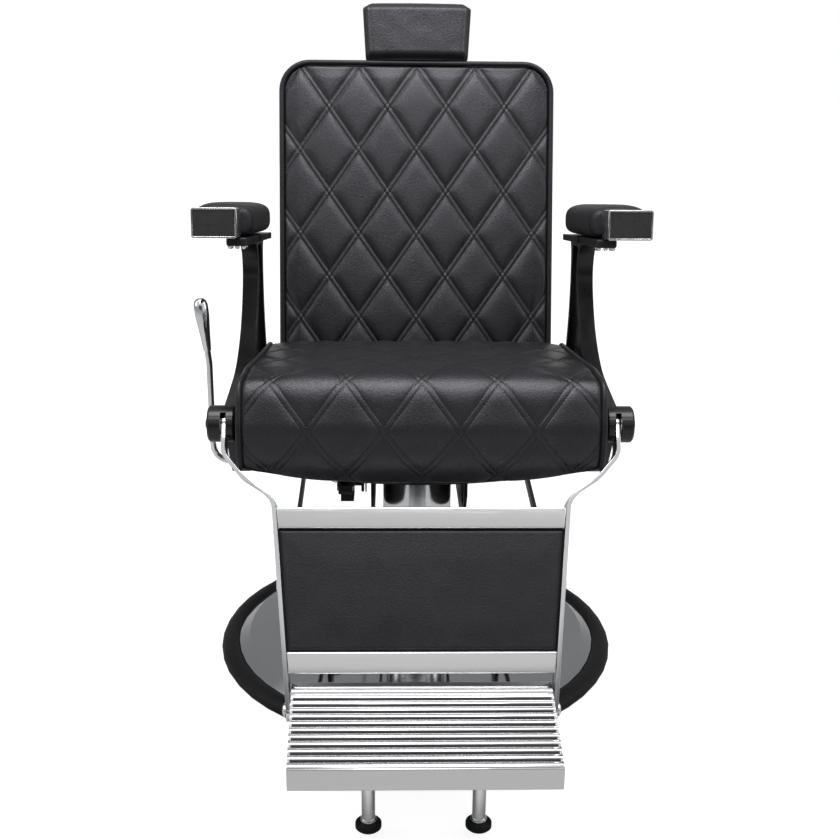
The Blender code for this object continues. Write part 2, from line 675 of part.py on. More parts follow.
def build_seat_frame():
    """Welded tube frame with the back's hinge plates, the arms' outriggers and the lock's lugs."""
    half = FRAME_TUBE / 2
    low, high = FRAME_BOTTOM, FRAME_TOP
    bars = (FRAME_FRONT, 0.030, FRAME_BACK - FRAME_TUBE)
    bays = [rectangle(RAIL_X - half, start + FRAME_TUBE, end) for start, end in zip(bars, bars[1:])]
    frame = flat_plate("seat_frame", rectangle(RAIL_X + half, FRAME_FRONT, FRAME_BACK), low, high, 'XY',
                       "black_steel", bays)
    rail_side = RAIL_X + half
    reach = ARM_INNER_X - CLEARANCE
    hinge_inner = rail_side - 0.0010
    hinge_outer = rail_side + 0.0065
    for side in (-1, 1):
        for y in (-0.135, 0.070):
            outrigger = box("outrigger", (min(side * (rail_side - 0.002), side * reach), y, low + 0.004),
                            (max(side * (rail_side - 0.002), side * reach), y + 0.030, high - 0.004), "black_steel")
            fuse(frame, outrigger)
        outline = strap([(0.100, (low + high) / 2), (0.150, 0.3800), BACK_PIVOT], [0.0090, 0.0110, 0.0150])
        plate = flat_plate("hinge plate", outline, min(side * hinge_inner, side * hinge_outer),
                           max(side * hinge_inner, side * hinge_outer), 'YZ', "black_steel")
        fuse(frame, plate)
        pin_hole(frame, BACK_PIVOT, side * (rail_side - 0.01) if side > 0 else -0.20,
                 0.20 if side > 0 else -(rail_side - 0.01))
    y, z = LOCK_FRONT
    for offset in (-1, 1):
        near = LOCK_X + offset * LOCK_LUG_GAP
        far = LOCK_X + offset * (LOCK_LUG_GAP + LOCK_LUG_WALL)
        lug = flat_plate("lock lug", strap([(y, low + 0.006), (y, z)], [0.0120, 0.0120], round_start=False),
                         min(near, far), max(near, far), 'YZ', "black_steel")
        fuse(frame, lug)
    pin_hole(frame, LOCK_FRONT, LOCK_X - 0.020, LOCK_X + 0.020)
    y, z = SHAFT
    hanger = flat_plate("shaft hanger", strap([(y, high - 0.002), (y, z)], [0.0150, 0.0130], round_start=False),
                        -rail_side - 0.0060, -rail_side + 0.0010, 'YZ', "black_steel")
    fuse(frame, hanger)
    pin_hole(frame, SHAFT, -rail_side - 0.010, -rail_side + 0.005, SHAFT_RADIUS + PIN_CLEARANCE)
    span = LOCK_LUG_GAP + LOCK_LUG_WALL + 0.0025
    pin = cylinder("lock_pin", (LOCK_X - span, *LOCK_FRONT), (LOCK_X + span, *LOCK_FRONT), PIN_RADIUS, "bright_steel")
    return frame, pin


def build_seat_board():
    wide = BOARD_HALF_WIDTH
    outline = []
    for x, y, start in ((1, BOARD_BACK, 90), (1, BOARD_FRONT, 0), (-1, BOARD_FRONT, -90), (-1, BOARD_BACK, -180)):
        inward = -1 if y > 0 else 1
        corner = 0.030 if y > 0 else 0.080
        centre = (x * (wide - corner), y + inward * corner)
        outline += arc(centre, corner, start, start - 90, 4)
    low = FRAME_TOP + CLEARANCE
    return flat_plate("seat_board", outline, low, low + BOARD_THICKNESS, 'XY', "plywood")


def seat_outline():
    """Side profile of the seat, over its top from the back and down its rolled front."""
    return rounded_path([(SEAT_REAR, 0.4500), (SEAT_REAR, 0.5080), (-0.200, 0.5555), (-0.270, 0.5560),
                         (-0.292, 0.4900), (-0.290, 0.4400), (-0.262, SEAT_HEM)], 0.060, 5)


def sample_along(path, lengths):
    """Points and outward normals at the given lengths along a side profile."""
    found = []
    for wanted in lengths:
        left = wanted
        for a, b in zip(path, path[1:]):
            step = (b - a).length
            if left <= step or b is path[-1]:
                along = (b - a).normalized()
                found.append((a + along * left, Vector((along.y, -along.x))))
                break
            left -= step
    return found


def build_seat_cushion():
    path = seat_outline()
    total = sum((b - a).length for a, b in zip(path, path[1:]))
    quarter = SEAT_DIAMOND_LENGTH / 4
    walked = 0.0
    for a, b in zip(path, path[1:]):
        if b.y < SEAT_CROSSING and b.x < -0.27:
            walked += (b - a).length * (a.y - SEAT_CROSSING) / (a.y - b.y)
            break
        walked += (b - a).length
    first = -int(walked / quarter)
    last = int((total - walked) / quarter)
    steps = list(range(first, last + 1))
    lengths = [walked + k * quarter for k in steps]
    if total - lengths[-1] > quarter * 0.35:
        steps.append(last + 1)
        lengths.append(total)
    places = sample_along(path, lengths)
    columns = range(-9, 10)
    pitch = SEAT_DIAMOND_WIDTH / 4
    stations = [(-SEAT_HALF_WIDTH + 0.0030, None, 0.0130), (-SEAT_HALF_WIDTH, None, 0.0050)]
    stations += [(i * pitch, i, 0.0) for i in columns]
    stations += [(SEAT_HALF_WIDTH, None, 0.0050), (SEAT_HALF_WIDTH - 0.0030, None, 0.0130)]
    rings = []
    for x, column, drawn in stations:
        share = x / SEAT_HALF_WIDTH
        overhangs = abs(x) > BOARD_HALF_WIDTH + 0.002
        raised = SEAT_SIDE_ROUND if drawn > 0.010 else 0.0
        under = SEAT_BOTTOM + (SEAT_SIDE_RISE + SEAT_LIP if overhangs else 0.0) + raised
        hem = SEAT_HEM + (SEAT_BOTTOM + SEAT_SIDE_RISE - SEAT_HEM) * share ** 2 + raised
        ring = []
        for k, (place, normal) in zip(steps, places):
            lift = SEAT_CROWN * (1 - share ** 4) - drawn
            if column is not None and abs(column) < 9:
                lift += SEAT_PUFF * (puff((column + k + 2) / 4, (column - k + 2) / 4) - 0.5)
            if k in (steps[0], steps[-1]):
                lift = -drawn
            point = place + normal * lift
            forward = min(max((-0.240 - point.x) / 0.025, 0), 1)
            bulge = 0 if drawn > 0.010 else forward * SEAT_FRONT_BULGE / SEAT_HALF_WIDTH
            wide = x * (1 + bulge)
            floor = hem + 0.0040 * (steps[-1] - k)
            ring.append((wide, point.x, hem if k == steps[-1] else max(point.y, floor)))
        front = BOARD_FRONT - CLEARANCE
        lip = min(under - SEAT_LIP, hem)
        ring += [(x, front - 0.0200, lip), (x, front, lip), (x, front, under),
                 (x, SEAT_REAR - 0.0030, under)]
        rings.append(ring)

    def split(i, j):
        if not 2 <= i < len(rings) - 3 or j >= len(steps) - 1:
            return 0
        column, k = stations[i][1], steps[j]
        if (column - k) % 4 == 2:
            return 1
        if (column + 1 + k) % 4 == 2:
            return 2
        return 0

    return loft("seat_cushion", rings, "black_leather", split)


# ---------------------------------------------------------------- side castings and armrests
def arm_rest_line(y):
    """Height of the armrest's underside above a place Y."""
    return ARMREST_FRONT[1] - (y - ARMREST_FRONT[0]) * math.tan(ARMREST_SLOPE)


def smooth_outline(points, steps=3):
    """A closed outline through (y, z, soft) points; soft points are rounded by a Catmull-Rom curve."""
    count = len(points)
    outline = []
    for k in range(count):
        p0, p1, p2, p3 = (Vector(points[(k + d) % count][:2]) for d in (-1, 0, 1, 2))
        soft_here, soft_next = points[k][2], points[(k + 1) % count][2]
        outline.append(tuple(p1))
        if not (soft_here or soft_next):
            continue
        start = (p2 - p0) / 2 if soft_here else (p2 - p1)
        end = (p3 - p1) / 2 if soft_next else (p2 - p1)
        for n in range(1, steps):
            t = n / steps
            point = (p1 * (2 * t ** 3 - 3 * t ** 2 + 1) + start * (t ** 3 - 2 * t ** 2 + t)
                     + p2 * (-2 * t ** 3 + 3 * t ** 2) + end * (t ** 3 - t ** 2))
            outline.append(tuple(point))
    return outline


def side_arm_outline():
    y, z = KNUCKLE
    seat = CLEARANCE
    return smooth_outline([
        (y, z + KNUCKLE_RADIUS, False), (-0.165, 0.5160, True), (-0.105, 0.5260, True), (-0.055, 0.5480, True),
        (-0.012, 0.5800, True), (0.022, 0.6250, True), (0.036, 0.6650, True), (0.026, 0.7000, True),
        (-0.004, 0.7140, True), (-0.030, arm_rest_line(-0.030) - 0.010, False),
        (-0.030, arm_rest_line(-0.030) - seat, False), (0.128, arm_rest_line(0.128) - seat, False),
        (0.128, arm_rest_line(0.128) - 0.010, False), (0.116, 0.6800, True), (0.110, 0.6300, True),
        (0.114, 0.5700, True), (0.130, 0.5000, True), (0.140, 0.4400, True), (0.132, 0.3930, True),
        (0.105, ARM_BOTTOM, False), (-0.140, ARM_BOTTOM, False), (-0.178, 0.3850, True), (-0.203, 0.4150, True),
        (y + 0.008, z - KNUCKLE_RADIUS + 0.002, False)])


def side_recess_outline():
    """The sunk field of the arm's inner face, inside an even rim."""
    return smooth_outline([
        (-0.150, 0.5070, True), (-0.100, 0.5150, True), (-0.048, 0.5380, True), (-0.002, 0.5720, True),
        (0.034, 0.6200, True), (0.048, 0.6640, True), (0.040, 0.7020, False), (0.094, 0.6990, False),
        (0.098, 0.6760, True), (0.099, 0.6300, True), (0.103, 0.5690, True), (0.119, 0.4990, True),
        (0.129, 0.4400, True), (0.121, 0.3990, True), (0.098, 0.3960, False), (-0.130, 0.3960, False),
        (-0.166, 0.3960, True), (-0.186, 0.4180, True), (-0.192, 0.4600, True), (-0.182, 0.4950, True)])


def build_side_arm(name, side):
    """One casting: a recessed arm that sweeps up from the knuckle and carries the armrest's flange."""
    inner = side * ARM_INNER_X
    outer = side * (ARM_INNER_X + ARM_THICKNESS)
    arm = flat_plate(name, side_arm_outline(), min(inner, outer), max(inner, outer), 'YZ', "black_cast")
    y, z = KNUCKLE
    knuckle = cylinder("knuckle", (side * KNUCKLE_INNER_X, y, z), (side * KNUCKLE_OUTER_X, y, z), KNUCKLE_RADIUS,
                       "black_cast", ROUND)
    add_bevel(knuckle, 0.0030)
    fuse(arm, knuckle)
    flange = box("flange", (min(side * FLANGE_INNER_X, outer), 0, 0), (max(side * FLANGE_INNER_X, outer), 0.158,
                                                                     FLANGE_THICKNESS), "black_cast")
    slope = Matrix.Rotation(-ARMREST_SLOPE, 4, 'X')
    low = Vector((0, -0.030, arm_rest_line(-0.030) - CLEARANCE)) - slope @ Vector((0, 0, FLANGE_THICKNESS))
    flange.matrix_world = Matrix.Translation(low) @ slope
    fuse(arm, flange)
    floor = side * (ARM_INNER_X + ARM_RECESS_DEPTH)
    open_side = side * (ARM_INNER_X - 0.010)
    cut(arm, flat_plate("recess", side_recess_outline(), min(floor, open_side), max(floor, open_side), 'YZ',
                        "black_cast"))
    slot_low = side * (BAR_TOP_X - BAR_THICKNESS / 2 - SLOT_SIDE_GAP)
    slot_high = side * (BAR_TOP_X + BAR_THICKNESS / 2 + SLOT_SIDE_GAP)
    low_x, high_x = min(slot_low, slot_high), max(slot_low, slot_high)
    cut(arm,
        box("slot front", (low_x, y - 0.060, z - 0.060), (high_x, y + 0.001, z + SLOT_TOP), "black_cast"),
        box("slot back", (low_x, y - 0.010, z - 0.061), (high_x, y + 0.0170, z), "black_cast"),
        cylinder("slot eye", (low_x, y, z), (high_x, y, z), EYE_RADIUS + 0.0015, "black_cast", ROUND))
    pin_hole(arm, KNUCKLE, min(side * 0.262, side * 0.325), max(side * 0.262, side * 0.325))
    return arm


def build_armrest(side):
    """Bracket, pad, chrome cap and its dark face, built level and then sloped."""
    tag = "right" if side < 0 else "left"
    slope = armrest_matrix()
    bracket_x = sorted((side * 0.2555, side * 0.2855))
    bracket = box("armrest_bracket_" + tag, (bracket_x[0], 0.042, -CLEARANCE - BRACKET_THICKNESS),
                  (bracket_x[1], 0.2090, -CLEARANCE), "black_steel", bevel=0.0020)
    centre = side * CAP_CENTRE_X
    half = CAP_WIDTH / 2
    cap_outline = rounded_rectangle(centre, CAP_HEIGHT / 2, half, CAP_HEIGHT / 2, 0.0035, 2)
    cap = flat_plate("armrest_cap_" + tag, cap_outline, 0, CAP_DEPTH, 'XZ', "chrome")
    plug_half = half - CAP_WALL
    cavity = box("cap cavity", (centre - plug_half, 0.0060, CAP_WALL), (centre + plug_half, 0.1, CAP_HEIGHT - CAP_WALL),
                 "chrome")
    face_half = half - CAP_WALL - 0.0002
    recess = box("cap recess", (centre - face_half, -0.01, CAP_WALL + 0.0002),
                 (centre + face_half, CAP_FACE_INSET + CAP_FACE_THICKNESS, CAP_HEIGHT - CAP_WALL - 0.0002), "chrome")
    cut(cap, cavity, recess)
    face = box("armrest_cap_face_" + tag,
               (centre - face_half + CLEARANCE, CAP_FACE_INSET, CAP_WALL + 0.0002 + CLEARANCE),
               (centre + face_half - CLEARANCE, CAP_FACE_INSET + CAP_FACE_THICKNESS - CLEARANCE,
                CAP_HEIGHT - CAP_WALL - 0.0002 - CLEARANCE), "dark_face")
    pad = build_armrest_pad("armrest_pad_" + tag, side, plug_half - CLEARANCE)
    put(slope, bracket, cap, cavity, recess, face, pad)
    return bracket, cap, face, pad


def rounded_rectangle(cx, cz, half_x, half_z, corner, steps):
    outline = []
    for sx, sz, start in ((1, 1, 90), (1, -1, 0), (-1, -1, -90), (-1, 1, -180)):
        centre = (cx + sx * (half_x - corner), cz + sz * (half_z - corner))
        outline += arc(centre, corner, start, start - 90, steps)
    return outline


def build_armrest_pad(name, side, plug_half):
    """A pad whose front plugs into the cap; it swells behind it and its back end is round."""
    low = CAP_WALL + CLEARANCE
    high = CAP_HEIGHT - CAP_WALL - CLEARANCE
    front = 0.0063
    step = CAP_DEPTH + CLEARANCE
    full = PAD_HALF_WIDTH
    length = ARMREST_LENGTH
    # place along the pad, middle, half width, bottom, top, corner share
    sections = [
        (front, CAP_CENTRE_X, plug_half, low, high, 0.15), (step, CAP_CENTRE_X, plug_half, low, high, 0.15),
        (step + 0.0002, PAD_CENTRE_X, full * 0.86, 0.0035, 0.0420, 0.9),
        (step + 0.0100, PAD_CENTRE_X, full * 0.97, 0.0005, 0.0460, 0.9),
        (step + 0.0500, PAD_CENTRE_X, full, 0, 0.0475, 0.9), (0.220, PAD_CENTRE_X, full, 0, 0.0475, 0.9),
        (length - 0.060, PAD_CENTRE_X, full, 0, 0.0450, 0.9), (length - 0.022, PAD_CENTRE_X, full * 0.90, 0.001, 0.0420, 0.9),
        (length - 0.006, PAD_CENTRE_X, full * 0.68, 0.004, 0.0370, 0.9), (length, PAD_CENTRE_X, full * 0.42, 0.010, 0.0300, 0.9)]
    rings = []
    for y, middle, half, bottom, top, roundness in sections:
        height = top - bottom
        corner = min(0.014, half, height / 2) * roundness
        outline = rounded_rectangle(side * middle, (top + bottom) / 2, half, height / 2, corner, 3)
        rings.append([(x, y, z) for x, z in outline])
    return loft(name, rings, "black_leather")


# ---------------------------------------------------------------- backrest and headrest
def build_back_frame():
    """Two side plates with their levers below the hinge, joined by a cross tube."""
    matrix = back_frame_matrix()
    rise = 0.0310

    def up_the_back(height):
        place = matrix @ Vector((0, rise, height))
        return place.y, place.z

    parts = []
    inner = BACK_PLATE_X - BACK_PLATE_THICKNESS / 2
    outer = BACK_PLATE_X + BACK_PLATE_THICKNESS / 2
    for side in (-1, 1):
        low, high = sorted((side * inner, side * outer))
        path = [LEVER_PIN, (0.209, 0.340), BACK_PIVOT, up_the_back(0.030), up_the_back(0.430)]
        plate = flat_plate("back_frame" if side < 0 else "plate", strap(path, [0.0140, 0.0120, 0.0160, 0.0080, 0.0080]),
                           low, high, 'YZ', "black_steel")
        lug = flat_plate("tube lug", strap([BACK_PIVOT, CROSS_TUBE], [0.0120, 0.0150]), low, high, 'YZ', "black_steel")
        parts += [plate, lug]
    frame = parts[0]
    y, z = CROSS_TUBE
    tube = cylinder("cross tube", (-BACK_PLATE_X, y, z), (BACK_PLATE_X, y, z), CROSS_TUBE_RADIUS, "black_steel", 20)
    bar = box("upper bar", (-BACK_PLATE_X, rise - 0.0060, 0.395), (BACK_PLATE_X, rise + 0.0060, 0.415), "black_steel")
    put(matrix, bar)
    fuse(frame, *parts[1:], tube, bar)
    for side in (-1, 1):
        low, high = sorted((side * (inner - 0.002), side * (outer + 0.002)))
        pin_hole(frame, BACK_PIVOT, low, high)
        pin_hole(frame, LEVER_PIN, low, high)
    return frame


def back_half_width(height):
    """Half width of the backrest at a height, with its rounded top and bottom corners."""
    top_gap = height - (BACK_TOP - BACK_CORNER)
    bottom_corner = 0.030
    bottom_gap = (BACK_BOTTOM + bottom_corner) - height
    for gap, corner in ((top_gap, BACK_CORNER), (bottom_gap, bottom_corner)):
        if gap > 0:
            gap = min(gap, corner * 0.999)
            return BACK_HALF_WIDTH - corner + math.sqrt(corner ** 2 - gap ** 2)
    return BACK_HALF_WIDTH


def build_back_cushion():
    pitch = BACK_DIAMOND_WIDTH / 4
    rise = BACK_DIAMOND_LENGTH / 4
    columns = list(range(-9, 10))
    first = math.ceil((BACK_BOTTOM + 0.006 - BACK_CROSSING) / rise)
    last = math.floor((BACK_TOP - 0.004 - BACK_CROSSING) / rise)
    rows = [(BACK_BOTTOM, None, 0.012)]
    rows += [(BACK_CROSSING + k * rise, k, 0.0) for k in range(first, last + 1)]
    rows = [row for row in rows if row[0] < BACK_TOP - 0.046]
    for angle in (12, 30, 48, 66, 80):
        drop = BACK_CORNER * (1 - math.sin(math.radians(angle)))
        rows.append((BACK_TOP - drop, None, 0.003 if angle > 70 else 0.0))
    rows.append((BACK_TOP, None, 0.012))
    keep = 6 * pitch          # columns outside this squeeze in where the corners are round
    rings = []
    for height, row, set_back in rows:
        wide = back_half_width(height) - set_back * 0.3
        ring = [(-wide + 0.004, BACK_REAR), (-wide + 0.006, (BACK_FACE + BACK_REAR) / 2), (-wide, BACK_FACE + set_back)]
        for column in columns:
            x = column * pitch
            if abs(x) > keep:
                x = math.copysign(keep + (abs(x) - keep) * (wide - keep) / (BACK_HALF_WIDTH - keep), x)
            share = x / BACK_HALF_WIDTH
            middle = (height - BACK_BOTTOM) / (BACK_TOP - BACK_BOTTOM) * 2 - 1
            depth = BACK_CROWN * (1 - share ** 4) * (1 - middle ** 6)
            if row is not None and abs(column) < 9:
                depth += BACK_PUFF * (puff((column + row) / 4, (column - row) / 4) - 0.35)
            ring.append((x, BACK_FACE - depth + set_back))
        ring += [(wide, BACK_FACE + set_back), (wide - 0.006, (BACK_FACE + BACK_REAR) / 2), (wide - 0.004, BACK_REAR)]
        rings.append([(x, y, height) for x, y in ring])

    def split(i, j):
        row, column = rows[i][1], j - 3 - 9
        if row is None or rows[i + 1][1] is None or not -9 <= column < 9:
            return 0
        if (column - row) % 4 == 0:
            return 1
        if (column + 1 + row) % 4 == 0:
            return 2
        return 0

    cushion = loft("back_cushion", rings, "black_leather", split)
    put(back_frame_matrix(), cushion)
    return cushion


def back_panel_outline(margin, low):
    """The backrest's outline drawn in by a margin, down to a given height."""
    wide = BACK_HALF_WIDTH - margin
    high = BACK_TOP - margin
    corner = BACK_CORNER - margin * 0.5
    small = 0.024
    outline = arc((wide - corner, high - corner), corner, 90, 0, 5)
    outline += arc((wide - small, low + small), small, 0, -90, 3)
    outline += arc((-wide + small, low + small), small, -90, -180, 3)
    outline += arc((-wide + corner, high - corner), corner, 180, 90, 5)
    return outline


def build_back_shells():
    """Plywood behind the cushion, and a dished rear shell that hides the frame."""
    board_low = BACK_REAR + CLEARANCE
    board_high = board_low + BACK_BOARD_THICKNESS
    board = flat_plate("back_board", back_panel_outline(0.008, BACK_BOTTOM + 0.022), board_low, board_high, 'XZ', "plywood")
    shell_low = board_high + CLEARANCE
    shell_high = shell_low + TRAY_DEPTH
    bm = flat_solid(back_panel_outline(0.008, BACK_BOTTOM + 0.008), shell_low, shell_high, 'XZ')
    bmesh.ops.recalc_face_normals(bm, faces=bm.faces)
    bmesh.ops.dissolve_limit(bm, angle_limit=0.01, verts=bm.verts, edges=bm.edges)
    front = min(bm.faces, key=lambda f: (abs(f.calc_center_median().y - shell_low) > 0.001, -f.calc_area()))
    bmesh.ops.inset_region(bm, faces=[front], thickness=TRAY_WALL, use_even_offset=True)
    bmesh.ops.translate(bm, vec=(0, TRAY_DEPTH - TRAY_WALL, 0), verts=front.verts)
    shell = add_bmesh("back_shell", bm, "black_leather")
    slots = []
    for side in (-1, 1):
        slots.append(box("plate slot", (side * BACK_PLATE_X - 0.0055, shell_low - 0.01, BACK_BOTTOM - 0.01),
                         (side * BACK_PLATE_X + 0.0055, shell_high - TRAY_WALL - 0.002, BACK_BOTTOM + 0.030), "black_steel"))
    half = HEAD_BAR_WIDTH / 2 + 0.0012
    slots.append(box("bar slot", (-half, HEAD_BAR_DEPTH - 0.0045, BACK_TOP - 0.030),
                     (half, HEAD_BAR_DEPTH + 0.0045, BACK_TOP + 0.010), "black_steel"))
    cut(shell, *slots)
    put(back_frame_matrix(), board, shell, *slots)
    return board, shell


def build_head_socket():
    """Flat tube fixed to the board's back, which grips the headrest's bar."""
    gap = 0.0006
    near = BACK_REAR + CLEARANCE + BACK_BOARD_THICKNESS + CLEARANCE
    half = HEAD_BAR_WIDTH / 2 + gap
    wall = 0.0035
    low, high = 0.430, 0.556
    far = HEAD_BAR_DEPTH + HEAD_BAR_THICKNESS / 2 + gap + wall
    socket = box("headrest_socket", (-half - wall, near, low), (half + wall, far, high), "black_steel", bevel=0.0)
    hole = box("bar hole", (-half, HEAD_BAR_DEPTH - HEAD_BAR_THICKNESS / 2 - gap, low - 0.01),
               (half, HEAD_BAR_DEPTH + HEAD_BAR_THICKNESS / 2 + gap, high + 0.01), "black_steel")
    cut(socket, hole)
    put(back_frame_matrix(), socket, hole)
    return socket


def build_head_bar():
    """Chrome slide bar with a fork for the tilt pin at its top."""
    half = HEAD_BAR_THICKNESS / 2
    bar = box("headrest_bar", (-HEAD_BAR_WIDTH / 2, HEAD_BAR_DEPTH - half, 0.436),
              (HEAD_BAR_WIDTH / 2, HEAD_BAR_DEPTH + half, 0.640), "chrome")
    y, z = HEAD_PIVOT, HEAD_PIVOT_HEIGHT
    tools = []
    for side in (-1, 1):
        low, high = sorted((side * 0.0110, side * 0.0150))
        tools.append(flat_plate("fork ear", strap([(HEAD_BAR_DEPTH, z), (y, z)], [0.0080, 0.0075], round_start=False),
                                low, high, 'YZ', "chrome"))
    fuse(bar, *tools)
    hole = cylinder("tilt hole", (-0.02, y, z), (0.02, y, z), 0.0040 + PIN_CLEARANCE, "chrome")
    cut(bar, hole)
    put(back_frame_matrix(), bar, hole, *tools)
    pin = cylinder("headrest_tilt_pin", (-0.0175, y, z), (0.0175, y, z), 0.0040, "bright_steel")
    put(back_frame_matrix(), pin)
    return bar, pin


def build_headrest():
    """Upholstered head pad, and the hinge knuckle on its back board."""
    rows = [(HEAD_BOTTOM, 0.010), (HEAD_BOTTOM + 0.006, 0.003), (HEAD_BOTTOM + 0.024, 0.0),
            ((HEAD_BOTTOM + HEAD_TOP) / 2, -0.004), (HEAD_TOP - 0.024, 0.0), (HEAD_TOP - 0.006, 0.003), (HEAD_TOP, 0.010)]
    rings = []
    for height, back_off in rows:
        share = (height - HEAD_BOTTOM) / (HEAD_TOP - HEAD_BOTTOM)
        wide = HEAD_BOTTOM_HALF_WIDTH + (HEAD_TOP_HALF_WIDTH - HEAD_BOTTOM_HALF_WIDTH) * share
        wide -= max(back_off, 0) * 0.35
        depth = HEAD_FRONT + 0.004
        front = [(-wide, depth + 0.006 + back_off), (-wide * 0.96, depth + 0.001 + back_off),
                 (-wide * 0.6, depth - 0.002 + back_off), (0, depth - 0.004 + back_off),
                 (wide * 0.6, depth - 0.002 + back_off), (wide * 0.96, depth + 0.001 + back_off),
                 (wide, depth + 0.006 + back_off)]
        rear = HEAD_REAR - max(back_off, 0) * 0.4
        ring = front + [(wide - 0.003, (HEAD_FRONT + HEAD_REAR) / 2), (wide - 0.002, rear),
                        (-wide + 0.002, rear), (-wide + 0.003, (HEAD_FRONT + HEAD_REAR) / 2)]
        rings.append([(x, y, height) for x, y in ring])
    pad = loft("headrest_pad", rings, "black_leather")
    y, z = HEAD_PIVOT, HEAD_PIVOT_HEIGHT
    knuckle = box("headrest_hinge", (-0.030, HEAD_REAR + CLEARANCE, z - 0.026), (0.030, HEAD_REAR + 0.0040, z + 0.026),
                  "black_steel")
    tongue = flat_plate("tongue", strap([(HEAD_REAR + 0.0020, z), (y, z)], [0.0090, 0.0070], round_start=False),
                        -0.0105, 0.0105, 'YZ', "black_steel")
    fuse(knuckle, tongue)
    hole = cylinder("tilt hole", (-0.02, y, z), (0.02, y, z), 0.0040 + PIN_CLEARANCE, "black_steel")
    cut(knuckle, hole)
    put(back_frame_matrix(), pad, knuckle, tongue, hole)
    return pad, knuckle


# ---------------------------------------------------------------- legrest, links and footplate
def build_leg_bar(name, side):
    """A bent flat bar from the knuckle to the footplate, with a lug and stud for the link rod."""
    path = rounded_path([(side * BAR_TOP_X, -0.004), (side * BAR_TOP_X, -0.0480), (side * 0.2640, -0.0810),
                         (side * 0.2340, -0.1000), (side * BAR_WAIST_X, -BAR_WAIST), (side * BAR_END_X, -LEG_LENGTH)],
                        0.030, 3)
    half = BAR_THICKNESS / 2
    bar = flat_plate(name, strap(path, [half] * len(path), False, False), -BAR_WIDTH / 2, BAR_WIDTH / 2, 'XZ', "chrome")
    tools = []
    for x, down, radius in ((BAR_TOP_X, 0.0, EYE_RADIUS), (BAR_END_X, LEG_LENGTH, FOOT_EYE_RADIUS)):
        tools.append(cylinder("eye", (side * (x - half), 0, -down), (side * (x + half), 0, -down), radius, "chrome", ROUND))
    lug_x = bar_x(LINK_LUG)
    low, high = sorted((side * (lug_x - half + 0.0018), side * (lug_x + half + 0.0010)))
    tools.append(flat_plate("lug", strap([(0, -LINK_LUG), (LINK_LUG_BEHIND, -LINK_LUG)], [0.0140, 0.0100]),
                            low, high, 'YZ', "chrome"))
    tools.append(cylinder("stud", (side * lug_x, LINK_LUG_BEHIND, -LINK_LUG),
                          (side * (LINK_FRONT_X - LINK_THICKNESS / 2 - 0.0020), LINK_LUG_BEHIND, -LINK_LUG),
                          STUD_RADIUS, "chrome"))
    fuse(bar, *tools)
    holes = []
    for x, down in ((BAR_TOP_X, 0.0), (BAR_END_X, LEG_LENGTH)):
        low, high = sorted((side * (x - 0.008), side * (x + 0.008)))
        holes.append(cylinder("pin hole", (low, 0, -down), (high, 0, -down), PIN_RADIUS + PIN_CLEARANCE, "chrome"))
    cut(bar, *holes)
    put(leg_frame_matrix(), bar, *tools, *holes)
    return bar


def leg_board(name, span, front, back, finish, bevel=0.0):
    """A board across the leg, from one height to another, whose ends meet the side bars."""
    gap = BAR_THICKNESS / 2 + 0.0006
    outline = [(-bar_x(span[0]) + gap, -span[0]), (bar_x(span[0]) - gap, -span[0]),
               (bar_x(span[1]) - gap, -span[1]), (-bar_x(span[1]) + gap, -span[1])]
    made = flat_plate(name, outline, -front, -back, 'XZ', finish, bevel=bevel)
    put(leg_frame_matrix(), made)
    return made


def build_legrest():
    panel = leg_board("legrest_panel", LEG_PANEL, 0.0165, -0.0060, "black_leather", bevel=0.0030)
    top = leg_board("legrest_top_trim", TOP_TRIM, 0.0180, -0.0080, "polished_aluminium", bevel=0.0015)
    bottom = leg_board("legrest_bottom_trim", BOTTOM_TRIM, 0.0180, -0.0080, "polished_aluminium", bevel=0.0015)
    return panel, top, bottom


def build_link_rod(name, side):
    """A flat rod from the back's lever to the leg's lug, joggled across the chair on its way."""
    front = leg_point(LINK_LUG, LINK_LUG_BEHIND)
    rear = LEVER_PIN
    hole_front = STUD_RADIUS + STUD_SLACK
    hole_rear = PIN_RADIUS + PIN_CLEARANCE
    path = [front, (front[0] + 0.022, front[1]), (rear[0] - 0.020, rear[1]), rear]
    outline = strap(path, [0.0140, 0.0085, 0.0085, 0.0120])
    holes = [arc(front, hole_front, 0, 345, 23), arc(rear, hole_rear, 0, 337.5, 15)]
    half = LINK_THICKNESS / 2
    bm = flat_solid(outline, -half, half, 'YZ', holes)
    for vert in bm.verts:
        share = (vert.co.y - front[0]) / (rear[0] - front[0])
        vert.co.x += side * (LINK_FRONT_X + (LINK_REAR_X - LINK_FRONT_X) * min(max(share, 0), 1))
    return add_bmesh(name, bm, "black_steel")


